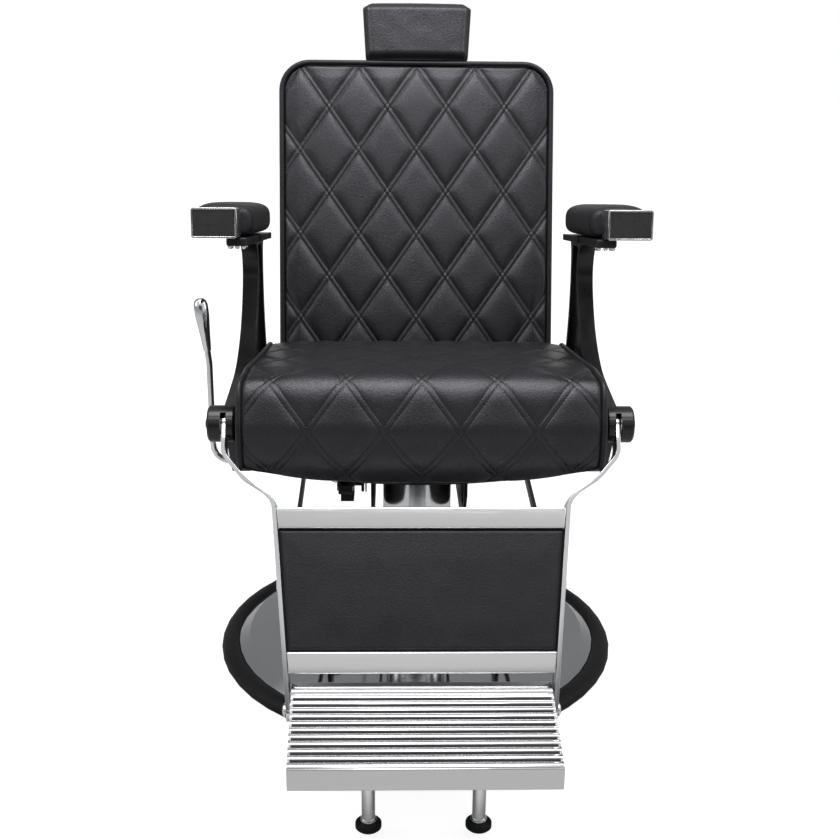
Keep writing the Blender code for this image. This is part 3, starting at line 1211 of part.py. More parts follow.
def build_footplate():
    """Ribbed tread casting with a front lip and two ears that hang it on the leg bars."""
    top = PLATE_TOP - RIB_HEIGHT
    profile = [(PLATE_BACK, PLATE_TOP - 0.0100), (PLATE_BACK, PLATE_TOP - 0.0020), (PLATE_BACK - 0.002, PLATE_TOP),
               (FIRST_GROOVE + 0.0035, PLATE_TOP)]
    for k in range(RIB_COUNT):
        groove = FIRST_GROOVE - k * RIB_PITCH
        profile += [(groove + 0.0018, top), (groove - 0.0018, top), (groove - 0.0050, PLATE_TOP - 0.0006),
                    (groove - RIB_PITCH + 0.0050, PLATE_TOP - 0.0006)]
    groove = FIRST_GROOVE - RIB_COUNT * RIB_PITCH
    profile += [(groove + 0.0018, top), (groove - 0.0012, top), (groove - 0.0030, PLATE_TOP - 0.001),
                (PLATE_FRONT + 0.0015, PLATE_TOP), (PLATE_FRONT, PLATE_TOP - 0.002),
                (PLATE_FRONT, PLATE_TOP - PLATE_LIP_HEIGHT), (PLATE_FRONT + 0.0060, PLATE_TOP - PLATE_LIP_HEIGHT),
                (PLATE_FRONT + 0.0060, PLATE_TOP - PLATE_THICKNESS - 0.004), (PLATE_FRONT + 0.0160, PLATE_TOP - PLATE_THICKNESS),
                (PLATE_BACK, PLATE_TOP - PLATE_THICKNESS)]
    profile = profile[1:]
    bm = flat_solid(profile, -1.0, 1.0, 'YZ')
    for vert in bm.verts:
        share = (vert.co.y - PLATE_BACK) / (PLATE_FRONT - PLATE_BACK)
        vert.co.x *= PLATE_BACK_HALF_WIDTH + (PLATE_FRONT_HALF_WIDTH - PLATE_BACK_HALF_WIDTH) * share
    plate = add_bmesh("footplate", bm, "polished_aluminium")
    pivot = leg_point(LEG_LENGTH)
    outer = BAR_END_X - BAR_THICKNESS / 2 - 0.0012
    inner = outer - 0.0065
    for side in (-1, 1):
        low, high = sorted((side * inner, side * outer))
        ear = flat_plate("ear", strap([pivot, (PLATE_BACK - 0.0260, PLATE_TOP - 0.0150)], [0.0130, 0.0130]), low, high, 'YZ', "polished_aluminium")
        fuse(plate, ear)
        pin_hole(plate, pivot, *sorted((side * 0.170, side * 0.195)))
    return plate


def build_foot(tag, x):
    """Threaded post with its nut under the footplate, and a rubber foot."""
    top = PLATE_TOP - PLATE_THICKNESS - CLEARANCE
    seat = FOOT_PAD_TOP + CLEARANCE
    post = turned("foot_post_" + tag, [
        (0, top), (FOOT_POST_RADIUS + 0.004, top), (FOOT_POST_RADIUS + 0.004, top - 0.004), (FOOT_POST_RADIUS, top - 0.006),
        (FOOT_POST_RADIUS, seat + 0.0050), (FOOT_NUT_RADIUS, seat + 0.0045), (FOOT_NUT_RADIUS, seat), (0, seat)],
        "chrome", 20, closed=False, location=(x, FOOT_Y, 0))
    pad = turned("foot_pad_" + tag, [
        (0, FOOT_PAD_TOP), (FOOT_PAD_RADIUS - 0.0015, FOOT_PAD_TOP), (FOOT_PAD_RADIUS, FOOT_PAD_TOP - 0.0015),
        (FOOT_PAD_RADIUS, FOOT_PAD_BOTTOM + 0.002), (FOOT_PAD_RADIUS - 0.002, FOOT_PAD_BOTTOM), (0, FOOT_PAD_BOTTOM)],
        "rubber", 24, closed=False, location=(x, FOOT_Y, 0))
    return post, pad


# ---------------------------------------------------------------- recline lock and release lever
def lock_matrix():
    """Lock coordinates: X across, Y from the front pin to the cross tube, Z square to both."""
    y0, z0 = LOCK_FRONT
    y1, z1 = CROSS_TUBE[0], CROSS_TUBE[1] - LOCK_EYE_DROP
    return (Matrix.Translation((LOCK_X, y0, z0)) @ Matrix.Rotation(math.atan2(z1 - z0, y1 - y0), 4, 'X')), \
        math.hypot(y1 - y0, z1 - z0)


def build_lock():
    """Hydraulic lock: a cylinder on the frame's lugs, and a rod whose eye rides on the back's tube."""
    matrix, length = lock_matrix()
    turn = Matrix.Rotation(-math.pi / 2, 4, 'X')      # a turned profile's axis laid along +Y
    barrel_start, barrel_end = 0.0150, 0.2150
    bore = LOCK_ROD_RADIUS + 0.0006
    barrel = turned("lock_cylinder", [
        (0, barrel_start + 0.020), (bore, barrel_start + 0.020), (bore, barrel_end), (LOCK_RADIUS - 0.003, barrel_end),
        (LOCK_RADIUS, barrel_end - 0.003), (LOCK_RADIUS, barrel_start + 0.003), (LOCK_RADIUS - 0.004, barrel_start),
        (0, barrel_start)], "chrome", 24, closed=False)
    barrel.matrix_world = turn
    block = box("valve block", (-0.0110, VALVE_BLOCK[0], -0.0520), (0.0110, VALVE_BLOCK[1], -0.0060), "chrome")
    eye = cylinder("eye", (-LOCK_LUG_GAP + 0.0006, 0, 0), (LOCK_LUG_GAP - 0.0006, 0, 0), 0.0110, "chrome", 20)
    neck = box("neck", (-0.0055, 0.004, -0.0060), (0.0055, barrel_start + 0.004, 0.0060), "chrome")
    fuse(barrel, eye, neck, block)
    hole = cylinder("pin hole", (-0.02, 0, 0), (0.02, 0, 0), PIN_RADIUS + PIN_CLEARANCE, "chrome")
    inside = VALVE_BLOCK[0] + 0.0180
    pin_bore = cylinder("valve bore", (0, inside, VALVE_LEVEL), (0, VALVE_BLOCK[1] + 0.01, VALVE_LEVEL),
                        VALVE_RADIUS + 0.0003, "chrome")
    cut(barrel, hole, pin_bore)
    pin = turned("valve_pin", [(0, VALVE_TIP), (VALVE_RADIUS - 0.001, VALVE_TIP), (VALVE_RADIUS, VALVE_TIP - 0.001),
                               (VALVE_RADIUS, inside + 0.0155), (0, inside + 0.0155)],
                 "bright_steel", SMALL_ROUND, closed=False)
    pin.matrix_world = Matrix.Translation((0, 0, VALVE_LEVEL)) @ turn
    put(matrix, barrel, eye, neck, block, hole, pin_bore, pin)
    rod_start = 0.112
    rod = turned("lock_rod", [
        (0, length - 0.012), (LOCK_ROD_RADIUS, length - 0.012), (LOCK_ROD_RADIUS, rod_start), (0, rod_start)],
        "bright_steel", 16, closed=False)
    rod.matrix_world = turn
    ring = cylinder("rod eye", (-0.0060, length, 0), (0.0060, length, 0), CROSS_TUBE_RADIUS + 0.0080, "bright_steel", 24)
    fuse(rod, ring)
    clear = cylinder("tube hole", (-0.02, length, 0), (0.02, length, 0), CROSS_TUBE_RADIUS + LOCK_EYE_SLACK, "bright_steel", 24)
    cut(rod, clear)
    put(matrix, rod, ring, clear)
    return barrel, rod, pin


def build_release():
    """Bent release shaft with its grip, and the forked cam on the crank at its inner end."""
    y, z = SHAFT
    low = z - SHAFT_CRANK
    grip_seat = 0.533
    lean_length = 0.0220
    lean_x = GRIP_X - lean_length * math.tan(GRIP_LEAN)
    shaft = pipe("release_shaft", [
        (lean_x, y, grip_seat), (GRIP_X, y, grip_seat - lean_length), (GRIP_X, y, z), (-0.1560, y, z),
        (-0.1500, y, low), (-0.0850, y, low)], SHAFT_RADIUS, "chrome", bend=0.034, steps=5)
    cotter = cylinder("cotter", (-0.0885, y, low + 0.011), (-0.0885, y, low - 0.021), 0.0014, "bright_steel", 8)
    fuse(shaft, cotter)
    rise = GRIP_TOP - grip_seat
    grip = turned("release_grip", [
        (0, rise), (0.0060, rise - 0.0012), (0.0100, rise - 0.0050), (0.0118, rise - 0.0120),
        (0.0118, rise - 0.0280), (0.0085, 0.0270), (0.0064, CLEARANCE), (0, CLEARANCE)],
        "chrome", 20, closed=False)
    grip.matrix_world = Matrix.Translation((lean_x, y, grip_seat)) @ Matrix.Rotation(-GRIP_LEAN, 4, 'Y')
    hole = SHAFT_RADIUS + PIN_CLEARANCE
    fork = cylinder("release_fork", (-0.1270, y, low), (-0.0960, y, low), 0.0088, "black_steel", 20)
    plates = []
    for near, far, down in ((-0.1320, -0.1265, 0.020), (-0.0965, -0.0915, 0.014)):
        outline = strap([(y, low + 0.012), (y, low), (y, low - down)], [0.0090, 0.0120, 0.0060])
        plates.append(flat_plate("fork plate", outline, near, far, 'YZ', "black_steel"))
    fuse(fork, *plates)
    cut(fork, cylinder("crank hole", (-0.14, y, low), (-0.09, y, low), hole, "black_steel", 20))
    return shaft, grip, fork


# ---------------------------------------------------------------- assembly
def build_chair():
    root = make_body("root", (0, 0, 0))
    ram_body = make_body("ram", (0, 0, 0), root)
    swivel = make_body("swivel", (0, 0, 0), ram_body)
    pedal_body = make_body("pedal", (0, *PEDAL_PIVOT), root)
    back = make_body("back", (0, *BACK_PIVOT), swivel)
    head_slide = make_body("head_slide", (0, *BACK_PIVOT), back, -BACK_LEAN)
    tilt = back_frame_matrix() @ Vector((0, HEAD_PIVOT, HEAD_PIVOT_HEIGHT))
    head = make_body("head", tilt, head_slide)
    leg = make_body("leg", (0, *KNUCKLE), swivel)
    foot = make_body("foot", (0, *leg_point(LEG_LENGTH)), leg)
    lock = make_body("lock", (0, *LOCK_FRONT), swivel)
    lock_rod_body = make_body("lock_rod_slide", (0, *CROSS_TUBE), lock)
    valve_body = make_body("valve", (LOCK_X, SHAFT[0], SHAFT[1] - SHAFT_CRANK), lock)
    lever = make_body("lever", (0, *SHAFT), swivel)

    hang(root, *build_base(), *build_pump())
    hang(ram_body, *build_ram())
    hang(pedal_body, *build_pedal())
    hang(swivel, *build_swivel(), *build_seat_frame(), build_seat_board(), build_seat_cushion())
    hang(back, build_back_frame(), build_back_cushion(), *build_back_shells(), build_head_socket())
    bar, tilt_pin = build_head_bar()
    hang(head_slide, bar, tilt_pin)
    hang(head, *build_headrest())
    hang(leg, *build_legrest())
    hang(foot, build_footplate())
    barrel, rod, valve = build_lock()
    hang(lock, barrel)
    hang(valve_body, valve)
    hang(lock_rod_body, rod)
    hang(lever, *build_release())

    plate_out = BACK_PLATE_X + BACK_PLATE_THICKNESS / 2
    for side, tag in ((-1, "right"), (1, "left")):
        arm = build_side_arm("side_arm_" + tag, side)
        hang(swivel, arm, *build_armrest(side))
        hang(swivel, headed_pin("footrest_pivot_pin_" + tag, KNUCKLE, ARM_INNER_X + 0.0025, KNUCKLE_OUTER_X, side, "black_cast"))
        hang(swivel, headed_pin("back_hinge_pin_" + tag, BACK_PIVOT, 0.1790, plate_out, side, "bright_steel"))
        link = make_body("link_" + tag, (side * LINK_REAR_X, *LEVER_PIN), back)
        hang(link, build_link_rod("link_rod_" + tag, side))
        link_out = LINK_REAR_X + LINK_THICKNESS / 2
        hang(back, headed_pin("link_bolt_" + tag, LEVER_PIN, 0.1925, link_out, side, "bright_steel"))
        hang(leg, build_leg_bar("leg_bar_" + tag, side))
        bar_out = BAR_END_X + BAR_THICKNESS / 2 + 0.0016      # the bar leans out above its eye
        hang(leg, headed_pin("footplate_pivot_" + tag, leg_point(LEG_LENGTH), 0.1780, bar_out, side, "chrome"))
        hang(foot, *build_foot(tag, side * FOOT_X))


build_chair()
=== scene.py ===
"""Looks for the hydraulic barber chair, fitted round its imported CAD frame.

Metres, +Z up.  The chair faces -Y, and +X is the sitter's left.  Hard pieces are the frame's own
solids with their edges rounded; cushions, pads, footplate, piping, stitches and screws are made here.
"""

import json
import math
from bisect import bisect_right

import bmesh
import bpy
from mathutils import Matrix, Vector, noise


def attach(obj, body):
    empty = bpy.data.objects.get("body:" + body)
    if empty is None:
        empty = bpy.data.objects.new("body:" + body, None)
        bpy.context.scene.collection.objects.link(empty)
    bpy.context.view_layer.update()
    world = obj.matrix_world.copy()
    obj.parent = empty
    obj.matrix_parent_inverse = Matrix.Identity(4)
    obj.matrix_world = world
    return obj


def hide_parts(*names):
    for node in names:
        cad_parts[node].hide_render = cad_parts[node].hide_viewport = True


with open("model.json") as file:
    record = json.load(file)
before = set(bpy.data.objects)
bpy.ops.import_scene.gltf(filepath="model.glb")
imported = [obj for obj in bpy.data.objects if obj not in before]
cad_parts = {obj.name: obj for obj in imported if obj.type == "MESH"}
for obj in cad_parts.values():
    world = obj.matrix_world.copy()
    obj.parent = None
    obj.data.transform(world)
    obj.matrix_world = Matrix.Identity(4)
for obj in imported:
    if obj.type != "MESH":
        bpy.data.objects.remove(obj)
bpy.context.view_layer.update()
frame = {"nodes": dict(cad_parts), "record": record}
NODES = frame["nodes"]
BODY_OF = {node: body for body, nodes in frame["record"]["behaviour"]["bodies"].items() for node in nodes}

# ---- sizes shared with the solids
CLEARANCE = 0.0003
SEAT_HALF_WIDTH = 0.2655
SEAT_DIAMOND = (0.1095, 0.150)        # across, and along the leather
SEAT_REAR = 0.163
SEAT_HEM = 0.3925
SEAT_BOTTOM = 0.4069
SEAT_SIDE_RISE = 0.0160
SEAT_LIP = 0.0040
SEAT_SIDE_ROUND = 0.0050
SEAT_FRONT_BULGE = 0.0045
SEAT_CROWN = 0.0060
SEAT_CROSSING = 0.486
BOARD_FRONT = -0.215
BOARD_HALF_WIDTH = 0.235

BACK_PIVOT = (0.215, 0.425)
BACK_LEAN = math.radians(14.0)
BACK_HALF_WIDTH = 0.2485
BACK_BOTTOM = 0.035
BACK_TOP = 0.577
BACK_CORNER = 0.055
BACK_LOW_CORNER = 0.030
BACK_FACE = -0.040
BACK_REAR = 0.0100
BACK_DIAMOND = (0.1056, 0.1516)
BACK_CROSSING = 0.4175
BACK_CROWN = 0.0080

HEAD_BOTTOM = 0.5785
HEAD_TOP = 0.6790
HEAD_TOP_HALF_WIDTH = 0.0985
HEAD_BOTTOM_HALF_WIDTH = 0.0925
HEAD_FRONT = -0.0540
HEAD_REAR = 0.0080

ARMREST_FRONT = (-0.238, 0.7565)
ARMREST_SLOPE = math.radians(7.0)
ARMREST_LENGTH = 0.365
CAP_CENTRE_X = 0.2965
CAP_WIDTH = 0.0650
CAP_HEIGHT = 0.0430
CAP_DEPTH = 0.0700
CAP_WALL = 0.0025
PAD_CENTRE_X = 0.2945
PAD_HALF_WIDTH = 0.0415
PAD_SWELL = 0.0035                    # the stuffed pads stand out from their solids by this
BRACKET_BOTTOM = -0.0123

KNUCKLE = (-0.235, 0.480)
LEG_ANGLE = math.radians(29.0)
LEG_LENGTH = 0.4155
BAR_THICKNESS = 0.0060
BAR_WAIST = 0.118
BAR_WAIST_X = 0.2165
BAR_END_X = 0.1893
LEG_PANEL = (0.1586, 0.3342)
PANEL_FRONT = 0.0165

PLATE_TOP = 0.1520
PLATE_BACK = -0.418
PLATE_FRONT = -0.634
PLATE_BACK_HALF_WIDTH = 0.1862
PLATE_FRONT_HALF_WIDTH = 0.1757
PLATE_THICKNESS = 0.0100
PLATE_LIP_HEIGHT = 0.0320
RIB_COUNT = 11
RIB_PITCH = 0.0166
RIB_HEIGHT = 0.0055
GROOVE_HALF = 0.0020          # half the flat floor between two ribs
GROOVE_SKIN = 0.00015
FIRST_GROOVE = -0.447
EAR_RADIUS = 0.0130
EAR_EASE = 0.0006
PIN_RADIUS = 0.0060

# ---- upholstery
CELLS = 63                    # mesh cells across a diamond
SEAM_CELLS = 3                # a stitch line lies this many cells from its seam's middle
PUFF = 0.0046
PUFF_REACH = 0.0068
BAND_RISE = 0.0007            # the band between a seam's two stitch lines
GROOVE_DEPTH = 0.0018
GROOVE_WIDTH = 0.0008
SEAT_SHALLOWNESS = 0.50       # the seat's leather is pulled tight, so its quilting is shallower
WRINKLE = 0.0004              # how unevenly the stuffing lifts the leather
SEAT_LEVEL = 0.0016           # taken off the quilting, so that on average it lies on the solid
BACK_LEVEL = 0.0022
SEAT_TUCK = 0.0040            # how far the leather dips beside the piping
BACK_TUCK = 0.0045
BACK_EDGE = 0.0045            # the back's face ends this far inside its outline
STITCH_PITCH = 0.0048
STITCH_SHARE = 0.62
STITCH_RADIUS = 0.00065
PIPING_RADIUS = 0.0043
BACK_PIPING_RADIUS = 0.0046
BACK_PIPING_INSET = 0.0040


# ---- materials
def new_material(name):
    mat = bpy.data.materials.new(name)
    mat.use_nodes = True
    tree = mat.node_tree
    tree.nodes.clear()
    out = tree.nodes.new("ShaderNodeOutputMaterial")
    bsdf = tree.nodes.new("ShaderNodeBsdfPrincipled")
    tree.links.new(bsdf.outputs[0], out.inputs[0])
    return mat, tree, bsdf


def object_space(tree, stretch=(1, 1, 1)):
    coord = tree.nodes.new("ShaderNodeTexCoord")
    mapping = tree.nodes.new("ShaderNodeMapping")
    mapping.inputs["Scale"].default_value = stretch
    tree.links.new(coord.outputs["Object"], mapping.inputs["Vector"])
    return mapping.outputs["Vector"]


def spread(tree, socket, start, end, low, high, kind='LINEAR'):
    """A value from start to end, spread from low to high."""
    node = tree.nodes.new("ShaderNodeMapRange")
    node.interpolation_type = kind
    for name, value in (("From Min", start), ("From Max", end), ("To Min", low), ("To Max", high)):
        node.inputs[name].default_value = value
    tree.links.new(socket, node.inputs["Value"])
    return node.outputs["Result"]


def joined(tree, operation, first, second):
    node = tree.nodes.new("ShaderNodeMath")
    node.operation = operation
    for value, socket in zip((first, second), node.inputs):
        if isinstance(value, (int, float)):
            socket.default_value = value
        else:
            tree.links.new(value, socket)
    return node.outputs[0]


def noise_map(tree, vector, scale, low, high, detail=4.0, start=0.3, end=0.7):
    """Noise spread between two values."""
    tex = tree.nodes.new("ShaderNodeTexNoise")
    tex.inputs["Scale"].default_value = scale
    tex.inputs["Detail"].default_value = detail
    tree.links.new(vector, tex.inputs["Vector"])
    return spread(tree, tex.outputs["Fac"], start, end, low, high)


def tint(tree, factor, dark, light):
    ramp = tree.nodes.new("ShaderNodeValToRGB")
    ramp.color_ramp.elements[0].color = (*dark, 1)
    ramp.color_ramp.elements[1].color = (*light, 1)
    tree.links.new(factor, ramp.inputs["Fac"])
    return ramp.outputs["Color"]


def rounded_normal(tree, radius):
    """Shading as if the solid's edges were rounded."""
    bevel = tree.nodes.new("ShaderNodeBevel")
    bevel.samples = 4
    bevel.inputs["Radius"].default_value = radius
    return bevel.outputs["Normal"]


def bump(tree, height, strength, distance, normal=None):
    node = tree.nodes.new("ShaderNodeBump")
    node.inputs["Strength"].default_value = strength
    node.inputs["Distance"].default_value = distance
    tree.links.new(height, node.inputs["Height"])
    if normal is not None:
        tree.links.new(normal, node.inputs["Normal"])
    return node.outputs["Normal"]


def hard_material(name, dark, light, metallic, rough, tone_scale=9.0, grain=220.0, strength=0.05,
                  stretch=(1, 1, 1), coat=0.0, coat_rough=0.05, edge=0.0008, specular=0.5):
    """Metal, paint, rubber or wood: toned and roughened by noise, with softly rounded edges."""
    mat, tree, bsdf = new_material(name)
    space = object_space(tree, stretch)
    tone = noise_map(tree, space, tone_scale, 0.0, 1.0)
    tree.links.new(tint(tree, tone, dark, light), bsdf.inputs["Base Color"])
    tree.links.new(noise_map(tree, space, grain * 0.5, *rough), bsdf.inputs["Roughness"])
    fine = noise_map(tree, space, grain, 0.0, 1.0, detail=6.0)
    tree.links.new(bump(tree, fine, strength, 0.0002, rounded_normal(tree, edge)), bsdf.inputs["Normal"])
    bsdf.inputs["Metallic"].default_value = metallic
    bsdf.inputs["Specular IOR Level"].default_value = specular
    bsdf.inputs["Coat Weight"].default_value = coat
    bsdf.inputs["Coat Roughness"].default_value = coat_rough
    return mat


def leather_material(name, dark, light, rough, strength=0.35, cell=950.0, specular=0.34):
    """Coated leather: pebbled grain, faint creases, uneven shine."""
    mat, tree, bsdf = new_material(name)
    space = object_space(tree)
    tone = noise_map(tree, space, 24.0, 0.0, 1.0)
    tree.links.new(tint(tree, tone, dark, light), bsdf.inputs["Base Color"])
    tree.links.new(noise_map(tree, space, 160.0, *rough), bsdf.inputs["Roughness"])
    pebbles = tree.nodes.new("ShaderNodeTexVoronoi")
    pebbles.feature = 'SMOOTH_F1'
    pebbles.inputs["Scale"].default_value = cell
    pebbles.inputs["Smoothness"].default_value = 0.35
    tree.links.new(space, pebbles.inputs["Vector"])
    creases = noise_map(tree, space, 310.0, 0.0, 0.8, detail=5.0)
    height = joined(tree, 'SUBTRACT', creases, pebbles.outputs["Distance"])
    tree.links.new(bump(tree, height, strength, 0.0006), bsdf.inputs["Normal"])
    bsdf.inputs["Specular IOR Level"].default_value = specular
    bsdf.inputs["Specular Tint"].default_value = (0.94, 0.92, 1.0, 1.0)
    bsdf.inputs["Sheen Weight"].default_value = 0.02
    bsdf.inputs["Sheen Roughness"].default_value = 0.4
    return mat


def metal(name, dark, light, rough, **more):
    return hard_material(name, dark, light, 1.0, rough, **more)


def coating(name, dark, light, rough, **more):
    return hard_material(name, dark, light, 0.0, rough, **more)


LEATHER = leather_material("black leather", (0.0060, 0.0060, 0.0074), (0.0098, 0.0096, 0.0116), (0.27, 0.35),
                           strength=0.45, cell=820.0, specular=0.52)
SMOOTH_LEATHER = leather_material("smooth black leather", (0.0060, 0.0060, 0.0070), (0.0098, 0.0096, 0.0110),
                                  (0.36, 0.48), strength=0.38)
PIPING = leather_material("piping leather", (0.005, 0.005, 0.006), (0.009, 0.009, 0.010), (0.30, 0.42),
                          strength=0.18)
THREAD = coating("black thread", (0.002, 0.002, 0.002), (0.005, 0.005, 0.006), (0.55, 0.75), tone_scale=400.0,
                 grain=2500.0, strength=0.3, specular=0.08)
DRAWN = (0.06, 1, 1)          # grain drawn out along the bar
FINISHES = {                  # what a slot's solids wear, then finishes for single pieces
    # chrome's reflectance is set above real chrome's so that its reflections read brighter: partly painted
    # light
    "chrome": metal("chrome", (0.76, 0.77, 0.79), (0.84, 0.85, 0.87), (0.035, 0.075), strength=0.008),
    "polished_aluminium": metal("polished aluminium", (0.66, 0.66, 0.67), (0.86, 0.86, 0.87), (0.12, 0.22),
                                grain=420.0, stretch=DRAWN, edge=0.0006),
    "black_cast": coating("gloss black casting", (0.005, 0.005, 0.006), (0.009, 0.009, 0.010), (0.26, 0.36),
                          grain=60.0, strength=0.02, coat=0.25, coat_rough=0.10, edge=0.0016, specular=0.3),
    "black_steel": coating("black steel", (0.007, 0.007, 0.008), (0.013, 0.013, 0.014), (0.34, 0.48),
                           grain=500.0, strength=0.12, specular=0.3),
    "bright_steel": metal("bright steel", (0.50, 0.51, 0.52), (0.66, 0.66, 0.67), (0.14, 0.26),
                          strength=0.04),
    "cast_iron": hard_material("cast iron", (0.020, 0.020, 0.021), (0.045, 0.045, 0.046), 0.2, (0.55, 0.75),
                               grain=350.0, strength=0.4),
    "black_leather": SMOOTH_LEATHER,
    "rubber": coating("rubber", (0.004, 0.004, 0.004), (0.008, 0.008, 0.008), (0.42, 0.58), grain=700.0,
                      strength=0.18, edge=0.0010, specular=0.18),
    "plywood": coating("black-stained plywood", (0.010, 0.009, 0.008), (0.018, 0.016, 0.014), (0.55, 0.75),
                       tone_scale=30.0, grain=300.0, strength=0.2, stretch=(0.15, 1, 1)),
    "dark_face": coating("dark cap face", (0.018, 0.018, 0.019), (0.026, 0.026, 0.027), (0.26, 0.38),
                         strength=0.03, edge=0.0004),
    "tread": metal("polished tread", (0.64, 0.64, 0.65), (0.68, 0.68, 0.69), (0.06, 0.10), tone_scale=7.0,
                   grain=300.0, strength=0.001, stretch=DRAWN, edge=0.0),
    # a dark grey metal for the grooves' floors: painted shade, standing in for the dark reflections down in
    # the grooves
    "groove_painted_shade": metal("groove painted shade", (0.075, 0.075, 0.080), (0.105, 0.105, 0.110), (0.30, 0.40),
                          strength=0.02),
    "satin_chrome": metal("satin chrome", (0.66, 0.67, 0.69), (0.74, 0.75, 0.77), (0.14, 0.20),
                          strength=0.01),
    "mirror": metal("mirror cover", (0.50, 0.51, 0.53), (0.57, 0.58, 0.60), (0.03, 0.06), tone_scale=4.0,
                    grain=120.0, strength=0.004),
}
NODE_SLOTS = {"lock_cylinder": "black_steel"}
NODE_LOOKS = {"base_cover": "mirror", "pump_sleeve": "satin_chrome"}
BEVELS = {"leg_bar_left": 0.0009, "leg_bar_right": 0.0009, "legrest_top_trim": 0.0006,
          "legrest_bottom_trim": 0.0006, "back_shell": 0.0030, "armrest_cap_left": 0.0005,
          "armrest_cap_right": 0.0005}
CREASE = 34.0                 # degrees between two faces from which their edge stays sharp
CREASES = {"base_cover": 10.0}
MADE_HERE = {"seat_cushion", "back_cushion", "headrest_pad", "armrest_pad_left", "armrest_pad_right",
             "legrest_panel", "footplate"}
SIDES = ((-1, "right"), (1, "left"))


# ---- mesh tools
def finish_mesh(name, mesh, material, body):
    """An object that rides with its body and wears one material."""
    mesh.materials.clear()
    mesh.materials.append(material)
    mesh.polygons.foreach_set("use_smooth", [True] * len(mesh.polygons))
    obj = bpy.data.objects.new(name, mesh)
    bpy.context.scene.collection.objects.link(obj)
    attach(obj, body)
    return obj


def piece(name, points, faces, material, body):
    """An object from points and faces in the world, with its normals turned outwards."""
    mesh = bpy.data.meshes.new(name)
    mesh.from_pydata([tuple(p) for p in points], [], faces)
    mesh.validate()
    bm = bmesh.new()
    bm.from_mesh(mesh)
    bmesh.ops.recalc_face_normals(bm, faces=bm.faces)
    bm.to_mesh(mesh)
    bm.free()
    return finish_mesh(name, mesh, material, body)


def mark_sharp(bm, angle):
    angle = math.radians(angle)
    for edge in bm.edges:
        edge.smooth = len(edge.link_faces) == 2 and edge.calc_face_angle() < angle


def resharpen(obj, angle):
    """Mark the edges of a made piece that stay sharp, from an angle in degrees."""
    bm = bmesh.new()
    bm.from_mesh(obj.data)
    mark_sharp(bm, angle)
    bm.to_mesh(obj.data)
    bm.free()


def refined(node):
    """The node's own solid, welded and smoothly shaded, with its edges rounded where BEVELS names it."""
    source = NODES[node].data
    lookup, points, index = {}, [], []
    for vert in source.vertices:
        key = tuple(round(c * 1e6) for c in vert.co)
        if key not in lookup:
            lookup[key] = len(points)
            points.append(vert.co.copy())
        index.append(lookup[key])
    bm = bmesh.new()
    verts = [bm.verts.new(p) for p in points]
    for poly in source.polygons:
        corners = [verts[index[v]] for v in poly.vertices]
        if len(set(corners)) == len(corners) and not bm.faces.get(corners):
            bm.faces.new(corners)
    bmesh.ops.recalc_face_normals(bm, faces=bm.faces)
    crease = CREASES.get(node, CREASE)
    if node in BEVELS:
        bmesh.ops.dissolve_limit(bm, angle_limit=math.radians(0.4), verts=bm.verts, edges=bm.edges)
        edges = [e for e in bm.edges if len(e.link_faces) == 2 and e.calc_face_angle() > math.radians(crease)]
        bmesh.ops.bevel(bm, geom=edges, offset=BEVELS[node], segments=2, profile=0.6, affect='EDGES',
                        clamp_overlap=True)
    mark_sharp(bm, crease)
    mesh = bpy.data.meshes.new(node + "_finished")
    bm.to_mesh(mesh)
    bm.free()
    slot_name = NODE_SLOTS.get(node, source.materials[0].name if source.materials else "black_steel")
    look = NODE_LOOKS.get(node, slot_name)
    obj = finish_mesh(mesh.name, mesh, FINISHES[look], BODY_OF[node])
    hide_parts(node)


def loft(name, rings, material, body, split=None):
    """A closed solid through rings of as many points; split(i, j) picks a quad's diagonal."""
    count = len(rings[0])
    points = [p for ring in rings for p in ring]
    faces = []
    for i in range(len(rings) - 1):
        for j in range(count):
            a, b = i * count + j, i * count + (j + 1) % count
            c, d = b + count, a + count
            choice = split(i, j) if split else 0
            if choice == 1:
                faces += [(a, b, c), (a, c, d)]
            elif choice == 2:
                faces += [(a, b, d), (b, c, d)]
            else:
                faces.append((a, b, c, d))
    faces.append(tuple(range(count))[::-1])
    faces.append(tuple(range((len(rings) - 1) * count, len(rings) * count)))
    return piece(name, points, faces, material, body)


def tube(name, path, radius, material, body, closed=False, sides=12):
    """A round tube along points, with an even twist and domed ends."""
    path = [Vector(p) for p in path]
    count = len(path)
    tangents = []
    for k in range(count):
        before = path[k - 1] if (k or closed) else path[k]
        after = path[(k + 1) % count] if (k < count - 1 or closed) else path[k]
        tangents.append((after - before).normalized())
    side = tangents[0].orthogonal().normalized()
    frames = []
    for k in range(count):
        side = (side - tangents[k] * side.dot(tangents[k])).normalized()
        frames.append((side.copy(), tangents[k].cross(side)))
    points, faces = [], []
    for place, (a, b) in zip(path, frames):
        for n in range(sides):
            turn = 2 * math.pi * n / sides
            points.append(place + (a * math.cos(turn) + b * math.sin(turn)) * radius)
    spans = count if closed else count - 1
    shift = 0
    if closed:
        a, b = frames[0]
        last = frames[-1][0]
        last = (last - tangents[0] * last.dot(tangents[0])).normalized()
        shift = round(math.atan2(last.dot(b), last.dot(a)) / (2 * math.pi) * sides)
    for k in range(spans):
        turn = shift if k == count - 1 else 0
        for n in range(sides):
            m = (n + 1) % sides
            far = ((k + 1) % count) * sides
            faces.append((k * sides + n, k * sides + m, far + (m + turn) % sides, far + (n + turn) % sides))
    if not closed:
        for ring, sign in ((0, -1), (count - 1, 1)):
            base = len(points)
            points += [path[ring] + (p - path[ring]) * 0.7 + tangents[ring] * sign * radius * 0.6
                       for p in points[ring * sides:(ring + 1) * sides]]
            for n in range(sides):
                m = (n + 1) % sides
                faces.append((ring * sides + n, ring * sides + m, base + m, base + n))
            faces.append(tuple(range(base, base + sides)))
    return piece(name, points, faces, material, body)


def smooth(value):
    """An eased step from 0 to 1."""
    value = min(max(value, 0.0), 1.0)
    return value * value * (3 - 2 * value)


